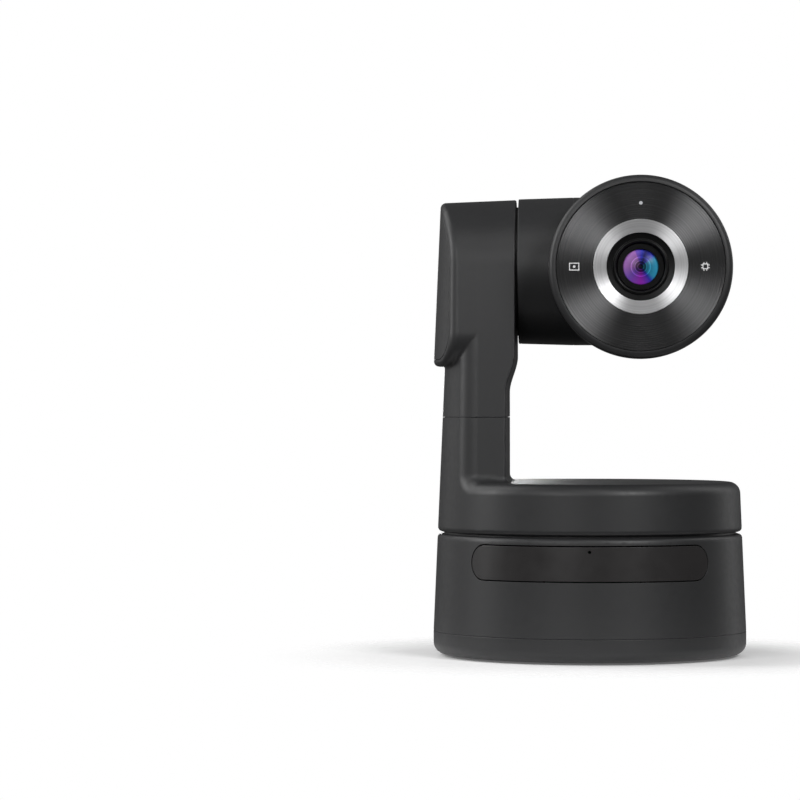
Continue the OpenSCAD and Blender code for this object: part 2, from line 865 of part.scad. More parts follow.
// the head's outer form up to front_h, or its cavity when inset
module head_form(inset, front_h) {
    points = head_profile(inset, front_h);
    on_lens_axis() rotate_extrude($fn = 128)
        polygon(concat([for (p = points) [p[1], p[0]]], [[0, front_h]]));
}

// both head shells in one, before the split
module head_shell() {
    difference() {
        union() {
            difference() {
                union() {
                    head_form(0, bezel_h);
                    on_tilt_axis() translate([0, 0, neck_seam_x])
                        cylinder(r = neck_end_r, h = head_x - neck_seam_x, $fn = 128);
                }
                head_form(wall, bezel_h + 1);
                on_tilt_axis() translate([0, 0, neck_seam_x - 1])
                    cylinder(r = neck_end_r - wall, h = head_x - neck_seam_x + 1, $fn = 128);
            }
            intersection() {
                head_post_places() cylinder(r = 2.6, h = 80, center = true);
                head_form(0.5, bezel_h);
            }
        }
        translate([-30, side_hole_y, side_hole_z]) rotate([0, 90, 0])
            cylinder(r = side_hole_r, h = 40);
        on_tilt_axis() translate([0, 0, neck_x])
            cylinder(r1 = neck_r + 0.1, r2 = neck_end_r + 0.1, h = neck_seam_x - neck_x, $fn = 128);
    }
}

// the three places where the head shells are screwed together
module head_post_places() {
    for (p = [[0, 38], [-12.5, -36], [12.5, -36]]) translate([head_x + p[0], p[1], tilt_z])
        children();
}

module head_upper_shell() {
    color(charcoal) difference() {
        head_shell();
        translate([-100, -100, tilt_z - 200]) cube([200, 200, 200]);
        head_post_places() translate([0, 0, -1]) cylinder(r = 1.05, h = 9);
    }
}

module head_lower_shell() {
    color(charcoal) difference() {
        head_shell();
        translate([-100, -100, tilt_z]) cube([200, 200, 200]);
        head_post_places() {
            translate([0, 0, -50]) cylinder(r = 1.2, h = 60);
            translate([0, 0, -60]) cylinder(r = 2.2, h = 54);
        }
    }
}

module head_screws() {
    color(steel) {
        head_post_places() translate([0, 0, -6]) screw(1, 12, 2, 1.4);
        on_lens_axis() corners(sensor_post, sensor_post) translate([0, 0, sensor_h])
            screw(1, 7, 2, 1.4);
    }
}

module neck_tube() {
    spigot_r = neck_end_r - wall - 0.1;
    color(charcoal) on_tilt_axis() difference() {
        union() {
            translate([0, 0, journal_x]) cylinder(r = journal_r, h = neck_x - journal_x + e);
            translate([0, 0, neck_x])
                cylinder(r1 = neck_r, r2 = neck_end_r, h = neck_seam_x - neck_x, $fn = 128);
            translate([0, 0, neck_seam_x - e]) cylinder(r = spigot_r, h = 4);
        }
        translate([0, 0, neck_x + 2]) cylinder(r = spigot_r - 1.6, h = 40);
        translate([0, 0, -50]) cylinder(r = 5, h = 60);
        corners(9, 9) translate([0, 0, -50]) cylinder(r = 1.6, h = 60);
    }
}

module neck_screws() {
    color(steel) on_tilt_axis() corners(9, 9) translate([0, 0, neck_x + 2])
        mirror([0, 0, 1]) screw(1.5, 7.4, 2.9, 1.8);
}

module tilt_shaft() {
    color("silver") on_tilt_axis() difference() {
        union() {
            translate([0, 0, -49.4]) cylinder(r = tilt_race_in, h = 49.4 + flange_x);
            translate([0, 0, frame_x + frame_t + 0.1])
                cylinder(r = 9, h = flange_x - frame_x - frame_t);
            translate([0, 0, flange_x]) cylinder(r = 17, h = journal_x - flange_x);
        }
        translate([0, 0, -60]) cylinder(r = 5, h = 60);
        corners(9, 9) translate([0, 0, -36]) cylinder(r = 1.5, h = 20);
    }
}

module tilt_gear() {
    color(brass) on_tilt_axis() translate([0, 0, tilt_gear_x]) difference() {
        linear_extrude(4) gear_2d(tilt_teeth, tilt_module);
        translate([0, 0, -1]) cylinder(r = 9, h = 10);
    }
}

module tilt_bearing_inner() {
    color(steel) on_tilt_axis() translate([0, 0, tilt_race_x])
        race_inner(tilt_race_in, tilt_race_out, tilt_race_h, tilt_ball_r);
}

module shaft_clip() {
    color(steel) on_tilt_axis() translate([0, 0, tilt_race_x - 1.6])
        ring(9.2, tilt_race_in, 1.4);
}

// ring section between [radius, distance forward] points, about the lens axis
module lens_turn(points) {
    on_lens_axis() rotate_extrude($fn = 128) polygon(points);
}

module front_bezel() {
    edge_h = head_front - bezel_edge_r;
    edge_x = head_r - bezel_edge_r;
    color(charcoal) {
        difference() {
            union() {
                on_lens_axis() rotate_extrude($fn = 128) {
                    translate([edge_x, edge_h]) circle(bezel_edge_r);
                    translate([29.6, bezel_h]) square([head_r - 29.6, edge_h - bezel_h]);
                    translate([29.6, bezel_h]) square([edge_x - 29.6, head_front - bezel_h]);
                    translate([13, 43.4]) square([17, 1.6]);
                }
                on_lens_axis() corners(sensor_post, sensor_post)
                    translate([0, 0, sensor_h + board_t])
                    cylinder(r = 2.6, h = 44 - sensor_h - board_t);
            }
            on_lens_axis() translate([0, 0, face_h - face_t]) cylinder(r = edge_x - 0.2, h = 5);
            on_lens_axis() corners(sensor_post, sensor_post) translate([0, 0, 10])
                cylinder(r = 1.05, h = 12);
            on_lens_axis() translate([0, light_z, 30]) cylinder(r = 0.8, h = 30, $fn = 32);
        }
    }
}

module face_plate() {
    color("#6d6f73") difference() {
        lens_turn([[face_bore + 0.1, face_h - face_t], [head_r - bezel_edge_r - 0.3, face_h - face_t],
                   [head_r - bezel_edge_r - 0.3, face_h], [face_bore + 0.1, face_h]]);
        on_lens_axis() translate([0, light_z, 30]) cylinder(r = 0.75, h = 30, $fn = 32);
    }
}

module lens_ring() {
    color("#c9cbce") lens_turn([[hood_r + 0.05, 45], [face_bore, 45], [face_bore, face_h + 0.1],
                               [hood_r + 0.05, face_h - 1.2]]);
}

module lens_hood() {
    color(soft_black) on_lens_axis() rotate_extrude($fn = 128) {
        polygon([[barrel_r + 0.05, 40], [hood_r, 40], [hood_r, face_h - 1.4], [lip_r, face_h - 1.7],
                 [barrel_r + 0.05, face_h - 1.7]]);
        translate([lip_r - 0.7, face_h - 1.5]) circle(0.7, $fn = 32);
    }
}

module lens_barrel() {
    color(soft_black) lens_turn([[barrel_bore, 18], [barrel_r, 18], [barrel_r, face_h - 2.2],
                                 [6.7, face_h - 2.2], [6.7, face_h - 3], [barrel_bore, face_h - 3.8]]);
}

// lens between two spherical faces: rim radius, middle, half thickness at rim, face radii
module lens_solid(rim, mid, half, front_r, back_r) {
    front_c = mid + half - sqrt(front_r * front_r - rim * rim);
    back_c = mid - half + sqrt(back_r * back_r - rim * rim);
    front_a = acos(rim / front_r);
    back_a = acos(rim / back_r);
    on_lens_axis() rotate_extrude($fn = 96) polygon(concat(
        arc([0, back_c], back_r, -90, -back_a, 6), arc([0, front_c], front_r, front_a, 90, 6)));
}

module front_lens() {
    color("#30264d") lens_solid(6.65, face_h - 4.6, 1.4, 13, 40);
}

module lens_holder() {
    color(soft_black) on_lens_axis() difference() {
        union() {
            translate([-13, -13, sensor_h + board_t]) cube([26, 26, 2.5]);
            translate([0, 0, sensor_h + board_t]) cylinder(r = 11, h = 16);
        }
        translate([0, 0, 17]) cylinder(r = barrel_r, h = 30);
        translate([-7, -7, 13]) cube([14, 14, 4.5]);
    }
}

module sensor_board() {
    color(board_green) on_lens_axis() difference() {
        union() {
            translate([0, 0, sensor_h]) cylinder(r = 30, h = board_t);
            translate([-6, -5, sensor_h]) cube([12, 10, board_t + 1.2]);
        }
        corners(sensor_post, sensor_post) translate([0, 0, 10]) cylinder(r = 1.1, h = 10);
    }
}

module head_board() {
    color(board_green) translate([head_x, 0, tilt_z - 15]) {
        translate([-17, 2, 0]) cube([34, 30, board_t]);
        translate([-7, 8, 0]) cube([14, 14, 3]);
        translate([-14, 24, 0]) cube([10, 6, 3.6]);
        translate([4, 25, 0]) cube([8, 5, 3.2]);
    }
}

module heat_sink() {
    color("silver") on_lens_axis() {
        translate([-12, -12, sensor_h - 2.6]) cube([24, 24, 2.6]);
        for (x = [-12 : 3.8 : 11]) translate([x, -12, sensor_h - 10]) cube([1.2, 24, 8]);
    }
}

module status_light() {
    color("white") on_lens_axis() translate([0, light_z, 41.4]) {
        cylinder(r = 0.66, h = face_h + 0.05 - 41.4, $fn = 32);
        cylinder(r = 1.8, h = 2, $fn = 32);
    }
}

// ---- focus group ----

module focus_cell() {
    color(soft_black) on_lens_axis() translate([0, 0, 24]) ring(barrel_bore - 0.06, 5.8, 10);
}

module focus_lens() {
    color("#8fb3c8") lens_solid(5.8, 29, 1, 18, 18);
}

bottom_cover();
foot_ring();
tripod_insert();
cover_screws();
base_shell();
ir_window();
front_board();
main_board();
board_screws();
io_panel();
io_board();
usb_c_socket();
hdmi_socket();
dc_socket();
audio_socket();
chassis_plate();
chassis_screws();
pan_bearing_outer();
pan_bearing_balls();
pan_motor();
home_sensor();
turntable_shell();
turntable_plate();
pan_gear();
pan_bearing_inner();
hub_nut();
turntable_screws();
arm_shell();
arm_cover();
arm_frame();
frame_screws();
tilt_bearing_outer();
tilt_bearing_balls();
tilt_motor();
pan_motor_shaft();
pan_pinion();
tilt_motor_shaft();
tilt_pinion();
head_upper_shell();
head_lower_shell();
head_screws();
neck_tube();
neck_screws();
tilt_shaft();
tilt_gear();
tilt_bearing_inner();
shaft_clip();
front_bezel();
face_plate();
lens_ring();
lens_hood();
lens_barrel();
front_lens();
lens_holder();
sensor_board();
head_board();
heat_sink();
status_light();
focus_cell();
focus_lens();
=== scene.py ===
"""Looks of a compact pan-tilt-zoom camera: base, turntable with one arm, and tilting head.

Dimensions are millimetres until make_object() turns them into metres. The lens looks
along -Y and the pan axis is the Z axis.
"""

import json
import math

import bpy
import numpy as np
from mathutils import Matrix, Vector


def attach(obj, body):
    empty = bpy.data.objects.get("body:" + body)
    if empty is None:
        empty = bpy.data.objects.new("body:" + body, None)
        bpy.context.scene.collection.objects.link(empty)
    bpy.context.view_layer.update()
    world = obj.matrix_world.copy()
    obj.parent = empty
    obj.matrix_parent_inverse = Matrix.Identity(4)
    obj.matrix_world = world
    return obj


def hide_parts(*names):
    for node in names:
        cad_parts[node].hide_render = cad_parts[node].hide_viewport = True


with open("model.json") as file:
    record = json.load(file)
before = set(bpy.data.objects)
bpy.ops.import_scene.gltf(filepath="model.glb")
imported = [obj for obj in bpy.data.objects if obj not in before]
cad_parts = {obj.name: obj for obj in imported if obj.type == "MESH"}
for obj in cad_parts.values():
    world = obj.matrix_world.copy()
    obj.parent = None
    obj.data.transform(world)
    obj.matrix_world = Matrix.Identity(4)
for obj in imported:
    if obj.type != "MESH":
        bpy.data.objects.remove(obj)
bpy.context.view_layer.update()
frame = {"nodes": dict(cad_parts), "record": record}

# ---- sizes in millimetres, nearly all the same as in the CAD ----

BASE_R = 60
DRAFT = 0.043
WALL = 2.2
FOOT_H = 0.6
SEAM_Z = 9.6
BOTTOM_EDGE_R = 4.5
FLOOR_Z = 3
DECK_Z = 46.8
DECK_EDGE_R = 1.6
DECK_HOLE_R = 14.4
COLLAR = (54.2, 55.9)
COLLAR_H = 2.6
TABLE_BOTTOM = 47.6
TABLE_Z = 66.6
TABLE_EDGE_R = 4.2
ARM_SEAM_Z = 91.4
SEAM_GAP = 0.16
TONGUE_DEPTH = 0.9
TONGUE_HALF_H = 1.2
ARCH_R = 27.5
SIDE_SLOPE = 0.07
ARCH_TAPER = 0.0387
ARM_FACE = 28.1
ARM_FACE_LOW = 31.3
RAMP = (101, 115)
POD_CORNER_R = 13
POD_BOTTOM = 110.8
POD_PROUD = 4.3
POD_RIM = 2.5
POD_GROOVE = 0.15
POD_EDGE_R = 2
POD_INNER_X = -34
ARM_OPENING_R = 25.1
TILT_Z = 147.4
HEAD_X = 19
HEAD_R = 34.2
SIDE_ARC = 560
SIDE_ARC_H = 42
DOME_R = 85
HEAD_REAR = 54.2
HEAD_FRONT = 49
CORNER_R = 11.5
BEZEL_H = 41.7
BEZEL_EDGE_R = 2.5
NECK_X = -27.2
NECK_SEAM_X = -6.2
NECK_R = 27.8
NECK_END_R = 28.4
JOURNAL_R = 24.7
JOURNAL_X = -30.6
SIDE_HOLE = (-30.4, 129, 4.8)
FACE_H = 48.6
FACE_T = 1.4
FACE_BORE = 17.65
FACE_R = HEAD_R - BEZEL_EDGE_R - 0.3
HOOD_R = 12.64
LIP_R = 10.4
BARREL_R = 8.6
WINDOW_ANGLE = 48.6
WINDOW_Z = 30.7
WINDOW_H = 13.1
SENSOR_HOLE_R = 0.6
SENSOR_HOLE_Z = WINDOW_Z + WINDOW_H - 2.1
PORT_W = 34.8
PORT_Z = 12
PORT_H = 28
PORT_Y = 50
PORT_CORNER_R = 3.5
PORT_EDGE_R = 1.3

# ---- distance fields: negative inside, in millimetres ----


def body_r(z):
    """Radius of the tapered body at a height."""
    return BASE_R - (z - SEAM_Z) * DRAFT


def cone(p, proud=0.0):
    """Distance from the tapered body, or from a larger one round it."""
    return (np.hypot(p[..., 0], p[..., 1]) - body_r(p[..., 2]) - proud) / math.hypot(1, DRAFT)


def meet(a, b, r):
    """Common part of two fields, its edge rounded with radius r."""
    corner = np.hypot(np.maximum(a + r, 0), np.maximum(b + r, 0))
    return np.minimum(np.maximum(a, b), -r) + corner


def join(a, b, r):
    """Two fields in one, with a fillet of radius r between them."""
    corner = np.hypot(np.maximum(r - a, 0), np.maximum(r - b, 0))
    return np.maximum(np.minimum(a, b), r) - corner


def ramp(x, start, end):
    """Goes smoothly from 0 at start to 1 at end."""
    t = np.clip((x - start) / (end - start), 0, 1)
    return t * t * (3 - 2 * t)


def arm_sides(p):
    """Distance from the arm's outline as seen from the side; its round top tapers outwards."""
    y, z = np.abs(p[..., 1]), p[..., 2] - TILT_Z
    tilt = math.atan(SIDE_SLOPE)
    line = y * math.cos(tilt) + z * math.sin(tilt) - ARCH_R
    taper = ARCH_TAPER * np.clip(-p[..., 0] - ARM_FACE, 0, 40) * ramp(z, -40, 15)
    return np.where(z < y * math.tan(tilt), line, np.hypot(y, z) - ARCH_R) + taper


def arm_inner(p):
    """Distance from the arm's face towards the head, which has an S-shaped ramp."""
    lean = ARM_FACE_LOW - (ARM_FACE_LOW - ARM_FACE) * ramp(p[..., 2], *RAMP)
    return p[..., 0] + lean


def tower(p):
    """The turntable and the arm in one, without the pod."""
    x, z = p[..., 0], p[..., 2]
    arm = meet(arm_sides(p), arm_inner(p), 0.5 + 0.5 * ramp(-z, -120, -80))
    fillet = 2.4 + 0.9 * ramp(x, -32, -38)
    solid = meet(join(z - TABLE_Z, arm, fillet), cone(p), TABLE_EDGE_R)
    return meet(solid, TABLE_BOTTOM - z, DECK_EDGE_R)


def pod_outline(p):
    """Distance from the pod's outline: flush with the arm, with two round lower corners."""
    return meet(arm_sides(p), POD_BOTTOM - p[..., 2], POD_CORNER_R)


def arm_with_pod(p):
    """The arm and the pod on its outer face."""
    pod = meet(pod_outline(p), cone(p, POD_PROUD), POD_EDGE_R)
    fillet = 0.02 + 0.8 * ramp(-arm_sides(p), 0.5, 3)
    return join(tower(p), np.maximum(pod, p[..., 0] - POD_INNER_X), fillet)


def port_outline(p):
    """Distance from the port recess's outline as seen from behind."""
    r = PORT_CORNER_R
    dx = np.abs(p[..., 0]) - PORT_W / 2 + r
    dz = np.abs(p[..., 2] - PORT_Z - PORT_H / 2) - PORT_H / 2 + r
    outside = np.hypot(np.maximum(dx, 0), np.maximum(dz, 0))
    return outside + np.minimum(np.maximum(dx, dz), 0) - r


def base(p):
    """The base shell with its port recess."""
    recess = np.maximum(port_outline(p), PORT_Y - 0.6 - p[..., 1])
    body = meet(cone(p), p[..., 2] - DECK_Z, DECK_EDGE_R)
    return meet(body, -recess, PORT_EDGE_R)


def window_outline(p, grow=0.0):
    """Distance from the window's outline, measured over the base's surface."""
    half = WINDOW_H / 2
    mid = WINDOW_Z + half
    around = np.abs(np.arctan2(p[..., 0], -p[..., 1])) * body_r(mid)
    straight = math.radians(WINDOW_ANGLE) * body_r(mid) - half
    return np.hypot(np.maximum(around - straight, 0), p[..., 2] - mid) - half - grow


def circles_meet(c1, r1, c2, r2):
    """Meeting point of two circles, the one to the left when facing from c1 to c2."""
    c1, c2 = Vector(c1), Vector(c2)
    d = (c2 - c1).length
    u = (c2 - c1) / d
    a = (r1 * r1 - r2 * r2 + d * d) / (2 * d)
    h = math.sqrt(r1 * r1 - a * a)
    return c1 + a * u + h * Vector((-u.y, u.x))


def head_turned(p):
    """The head without its neck: a flat dome and a long side arc joined by a corner arc."""
    h = -p[..., 1]
    r = np.hypot(p[..., 0] - HEAD_X, p[..., 2] - TILT_Z)
    side_c = (SIDE_ARC_H, HEAD_R - SIDE_ARC)
    dome_c = (DOME_R - HEAD_REAR, 0)
    corner = circles_meet(side_c, SIDE_ARC - CORNER_R, dome_c, DOME_R - CORNER_R)
    dome_a = math.atan2(corner[1] - dome_c[1], corner[0] - dome_c[0])
    side_a = math.atan2(corner[1] - side_c[1], corner[0] - side_c[0])
    side = np.hypot(h - side_c[0], r - side_c[1]) - SIDE_ARC
    dome = np.hypot(h - dome_c[0], r - dome_c[1]) - DOME_R
    arc = np.hypot(h - corner[0], r - corner[1]) - CORNER_R
    dome_side = np.arctan2(r - dome_c[1], h - dome_c[0]) > dome_a
    side_side = np.arctan2(r - side_c[1], h - side_c[0]) < side_a
    return np.where(dome_side, dome, np.where(side_side, side, arc))


def head(p):
    """The head with the stub of its neck."""
    stub = np.hypot(p[..., 1], p[..., 2] - TILT_Z) - NECK_END_R
    return join(head_turned(p), np.maximum(stub, p[..., 0] - HEAD_X), 1.0)


# ---- meshes from fields ----

CELL_CORNERS = [(i, j, k) for i in (0, 1) for j in (0, 1) for k in (0, 1)]
CELL_EDGES = [
    (a, b) for a in CELL_CORNERS for b in CELL_CORNERS
    if a < b and sum(abs(m - n) for m, n in zip(a, b)) == 1
]


def unit(v):
    """Vectors scaled to length 1."""
    return v / np.maximum(np.linalg.norm(v, axis=-1, keepdims=True), 1e-12)


def slope(field, p, h=0.02):
    """Gradient of a field at points."""
    steps = np.eye(3) * h
    return np.stack([(field(p + s) - field(p - s)) / (2 * h) for s in steps], axis=-1)


def settle(field, p, rounds=4):
    """Points moved onto the zero level of a field."""
    for _ in range(rounds):
        g = slope(field, p)
        p = p - g * (field(p) / np.maximum((g * g).sum(axis=-1), 0.05))[..., None]
    return p


def shifted(a, corner):
    """A grid of values as seen from one corner of each cell."""
    i, j, k = corner
    nx, ny, nz = a.shape[:3]
    return a[i:nx - 1 + i, j:ny - 1 + j, k:nz - 1 + k]


def net(field, low, high, step):
    """Points and four-cornered faces on the zero level of a field, inside a box."""
    axes = [np.arange(a, b + step, step) for a, b in zip(low, high)]
    grid = np.stack(np.meshgrid(*axes, indexing="ij"), axis=-1)
    values = field(grid)
    inside = values < 0
    count = sum(shifted(inside, c).astype(int) for c in CELL_CORNERS)
    mixed = (count > 0) & (count < 8)
    number = np.full(mixed.shape, -1)
    number[mixed] = np.arange(mixed.sum())
    total = np.zeros((mixed.sum(), 3))
    crossings = np.zeros(mixed.sum())
    for a, b in CELL_EDGES:
        va, vb = shifted(values, a)[mixed], shifted(values, b)[mixed]
        pa, pb = shifted(grid, a)[mixed], shifted(grid, b)[mixed]
        crossed = (va < 0) != (vb < 0)
        t = va[crossed] / (va[crossed] - vb[crossed])
        total[crossed] += pa[crossed] + (pb[crossed] - pa[crossed]) * t[:, None]
        crossings[crossed] += 1
    points = settle(field, total / crossings[:, None])
    faces = []
    for axis in range(3):
        order = [axis] + [n for n in range(3) if n != axis]
        flags = inside.transpose(order)
        cells = number.transpose(order)
        changed = np.argwhere(flags[:-1, 1:-1, 1:-1] != flags[1:, 1:-1, 1:-1])
        i, j, k = changed.T
        ring = [cells[i, j, k], cells[i, j + 1, k], cells[i, j + 1, k + 1], cells[i, j, k + 1]]
        faces.append(np.stack(ring, axis=-1))
    faces = np.concatenate(faces)
    return points, faced_outwards(points, faces, slope(field, points))


def faced_outwards(points, faces, normals):
    """Faces turned so that their order agrees with the normals at their corners."""
    across = points[faces[:, 2]] - points[faces[:, 0]]
    other = points[faces[:, -1]] - points[faces[:, 1]]
    wrong = (np.cross(across, other) * normals[faces].sum(axis=1)).sum(axis=-1) < 0
    faces = faces.copy()
    faces[wrong] = faces[wrong][:, ::-1]
    return faces


def sheet(points, field):
    """Mesh from a grid of points that lie on a field's zero level."""
    columns, rows = points.shape[:2]
    number = np.arange(columns * rows).reshape(columns, rows)
    faces = [number[:-1, :-1], number[1:, :-1], number[1:, 1:], number[:-1, 1:]]
    faces = np.stack(faces, axis=-1).reshape(-1, 4)
    points = points.reshape(-1, 3)
    return points, faced_outwards(points, faces, slope(field, points)).tolist()


def cut(mesh, limit, field, both=False):
    """The part of a mesh where limit is negative, or both parts, with corners along its zero
    level. limit is a function of points."""
    points, faces = mesh
    values = limit(points)
    keep = values < 0
    made = {}
    extra = []

    def crossing(a, b):
        key = (min(a, b), max(a, b))
        if key not in made:
            t = values[a] / (values[a] - values[b])
            extra.append(points[a] + (points[b] - points[a]) * t)
            made[key] = len(points) + len(extra) - 1
        return made[key]

    def part(face, flags, wanted):
        poly = []
        for n, a in enumerate(face):
            b = face[(n + 1) % len(face)]
            if flags[n] == wanted:
                poly.append(a)
            if flags[n] != flags[(n + 1) % len(face)]:
                poly.append(crossing(a, b))
        return poly

    kept = []
    for face in faces:
        flags = [keep[n] for n in face]
        if all(flags):
            kept.append(face)
        elif any(flags):
            kept.append(part(face, flags, True))
            if both:
                kept.append(part(face, flags, False))
        elif both:
            kept.append(face)
    if extra:
        fresh = onto_both(np.array(extra), limit, field)
        points = np.concatenate([points, fresh])
    return points, kept


def onto_both(p, limit, field):
    """Points moved onto a surface and onto the zero level of limit."""
    for _ in range(3):
        n = unit(slope(field, p))
        g = slope(limit, p)
        g = g - n * (g * n).sum(axis=-1, keepdims=True)
        p = p - g * (limit(p) / np.maximum((g * g).sum(axis=-1), 0.05))[..., None]
        p = settle(field, p, 1)
    return p


def border(faces):
    """Edges that only one face has, in that face's order."""
    seen = {}
    for face in faces:
        for n, a in enumerate(face):
            b = face[(n + 1) % len(face)]
            if (b, a) in seen:
                del seen[(b, a)]
            else:
                seen[(a, b)] = True
    return np.array(list(seen), dtype=int).reshape(-1, 2)


def tidy(mesh):
    """A mesh without the points that no face uses."""
    points, faces = mesh
    used = np.zeros(len(points), bool)
    used[np.concatenate([np.asarray(f) for f in faces])] = True
    number = np.cumsum(used) - 1
    return points[used], [[int(number[n]) for n in face] for face in faces]


def trimmed(mesh, limit, field, soft=0.2):
    """A mesh cut along limit, with a row of corners beside the cut for a soft edge."""
    if soft:
        mesh = cut(mesh, lambda p: limit(p) + soft, field, both=True)
    return cut(mesh, limit, field)


def shell(mesh, field, wall=1.6, soft=0.15):
    """Patches of a thin-walled moulding: outer skin with softened borders, inner skin, rim."""
    points, faces = tidy(mesh)
    normals = unit(slope(field, points))
    edges = border(faces)
    outward = np.zeros_like(points)
    along = points[edges[:, 1]] - points[edges[:, 0]]
    side = unit(np.cross(along, normals[edges[:, 0]]))
    np.add.at(outward, edges[:, 0], side)
    np.add.at(outward, edges[:, 1], side)
    rim = np.unique(edges)
    inner = points - normals * wall
    points = points.copy()
    points[rim] -= normals[rim] * soft
    shading = normals.copy()
    shading[rim] = unit(normals[rim] + unit(outward[rim]))
    outer_patch = (points, shading, faces)
    inner_patch = (inner, -normals, [face[::-1] for face in faces])
    a, b = edges[:, 0], edges[:, 1]
    corners = np.stack([points[b], points[a], inner[a], inner[b]], axis=1)
    flat = np.repeat(side[:, None], 4, axis=1)
    count = len(edges)
    rim_patch = (corners.reshape(-1, 3), flat.reshape(-1, 3),
                 np.arange(count * 4).reshape(count, 4).tolist())
    return [outer_patch, inner_patch, rim_patch]


def tongue(field, limits, low, high):
    """Narrow band behind a parting line, so that no light shows through the line."""
    deeper = lambda p: field(p) + TONGUE_DEPTH
    mesh = net(deeper, low, high, 0.9)
    for limit in limits:
        mesh = trimmed(mesh, limit, deeper, 0)
    return shell(mesh, deeper, 0.5, 0.05)


# ---- turned meshes ----


def rounded(points, steps=6):
    """Outline with arcs at its corners: points are (radius, height, corner radius)."""
    out = []
    count = len(points)
    for n, (x, y, r) in enumerate(points):
        here = Vector((x, y))
        if not r:
            out.append((x, y))
            continue
        before = (Vector(points[n - 1][:2]) - here).normalized()
        after = (Vector(points[(n + 1) % count][:2]) - here).normalized()
        half = before.angle(after) / 2
        centre = here + (before + after).normalized() * r / math.sin(half)
        start = here + before * r / math.tan(half) - centre
        end = here + after * r / math.tan(half) - centre
        turn = start.angle_signed(end)
        for s in range(steps + 1):
            spoke = Matrix.Rotation(-turn * s / steps, 2) @ start
            out.append(tuple(centre + spoke))
    return out


def turned(outline, segments=160, closed=True, sharp=35):
    """Patches of a lathe form: outline goes anticlockwise as (radius, height)."""
    points = np.array(outline, float)
    count = len(points)
    spans = count if closed else count - 1
    along = np.roll(points, -1, axis=0) - points
    long = np.linalg.norm(along, axis=1)
    normal = unit(np.stack([along[:, 1], -along[:, 0]], axis=-1))
    limit = math.cos(math.radians(sharp))
    angles = np.linspace(0, 2 * math.pi, segments + 1)
    angles[-1] = 0
    patches = []
    for n in range(spans):
        if long[n] < 1e-6:
            continue
        ends = []
        for corner, other in ((n, n - 1), ((n + 1) % count, n + 1)):
            other %= count
            smooth = closed or 0 <= other < spans
            mixed = normal[n]
            if smooth and long[other] > 1e-6 and normal[n] @ normal[other] > limit:
                mixed = unit(normal[n] * long[n] ** 2 + normal[other] * long[other] ** 2)
            ends.append((points[corner], mixed))
        rows = [np.stack([q[0] * np.cos(angles), q[0] * np.sin(angles),
                          np.full_like(angles, q[1])], axis=-1) for q, _ in ends]
        lit = [np.stack([m[0] * np.cos(angles), m[0] * np.sin(angles),
                         np.full_like(angles, m[1])], axis=-1) for _, m in ends]
        a = np.arange(segments)
        b = a + segments + 1
        faces = np.stack([a, a + 1, b + 1, b], axis=-1).tolist()
        patches.append((np.concatenate(rows), np.concatenate(lit), faces))
    return patches


def moved(patches, matrix):
    """Patches carried by a rotation and a shift."""
    m = np.array(matrix)
    return [(p @ m[:3, :3].T + m[:3, 3], n @ m[:3, :3].T, f) for p, n, f in patches]


ON_LENS = Matrix.Translation((HEAD_X, 0, TILT_Z)) @ Matrix.Rotation(math.radians(90), 4, "X")
ON_TILT = Matrix.Translation((0, 0, TILT_Z)) @ Matrix.Rotation(math.radians(90), 4, "Y")


def make_object(name, patches, material, place=None):
    """A mesh object from patches, in metres, its corners welded and its normals kept.
    place is the object's own frame in millimetres, where its patches are already local."""
    points = np.concatenate([p for p, _, _ in patches])
    keys = np.round(points, 4)
    _, first, number = np.unique(keys, axis=0, return_index=True, return_inverse=True)
    number = number.reshape(-1)
    normals = np.concatenate([n for _, n, _ in patches])
    faces = []
    corner_normals = []
    start = 0
    for p, _, patch_faces in patches:
        for face in patch_faces:
            ids = [start + n for n in face]
            kept = [n for k, n in enumerate(ids) if number[n] != number[ids[k - 1]]]
            if len(kept) > 2 and len({number[n] for n in kept}) == len(kept):
                faces.append([int(number[n]) for n in kept])
                corner_normals.extend(normals[kept])
        start += len(p)
    mesh = bpy.data.meshes.new(name)
    mesh.from_pydata((points[first] * 0.001).tolist(), [], faces)
    mesh.polygons.foreach_set("use_smooth", [True] * len(faces))
    mesh.normals_split_custom_set([tuple(n) for n in corner_normals])
    mesh.materials.append(material)
    obj = bpy.data.objects.new(name, mesh)
    bpy.context.scene.collection.objects.link(obj)
    if place is not None:
        obj.matrix_world = Matrix.Translation(place.translation * 0.001) @ place.to_3x3().to_4x4()
    return obj


def add_piece(name, patches, finish, body, nodes, place=None):
    """A piece of the object that rides on a CAD body and stands for its nodes."""
    obj = make_object(name, patches, MATERIALS[finish], place)
    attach(obj, body)
    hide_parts(*nodes)


# ---- materials ----


def node_tree(name):
    """A new material, its node tree and its main shader."""
    material = bpy.data.materials.new(name)
    material.use_nodes = True
    tree = material.node_tree
    return material, tree, tree.nodes["Principled BSDF"]


def axis_distance(tree):
    """Distance from the object's own z axis, in metres."""
    coords = tree.nodes.new("ShaderNodeTexCoord")
    flat = tree.nodes.new("ShaderNodeVectorMath")
    flat.operation = "MULTIPLY"
    flat.inputs[1].default_value = (1, 1, 0)
    tree.links.new(coords.outputs["Object"], flat.inputs[0])
    length = tree.nodes.new("ShaderNodeVectorMath")
    length.operation = "LENGTH"
    tree.links.new(flat.outputs["Vector"], length.inputs[0])
    return length.outputs["Value"]


def ring_noise(tree, scale, detail=3.0):
    """Noise that changes with the distance from the object's z axis alone, like turning marks."""
    node = tree.nodes.new("ShaderNodeTexNoise")
    node.noise_dimensions = "1D"
    node.inputs["Scale"].default_value = scale
    node.inputs["Detail"].default_value = detail
    tree.links.new(axis_distance(tree), node.inputs["W"])
    return node.outputs["Fac"]


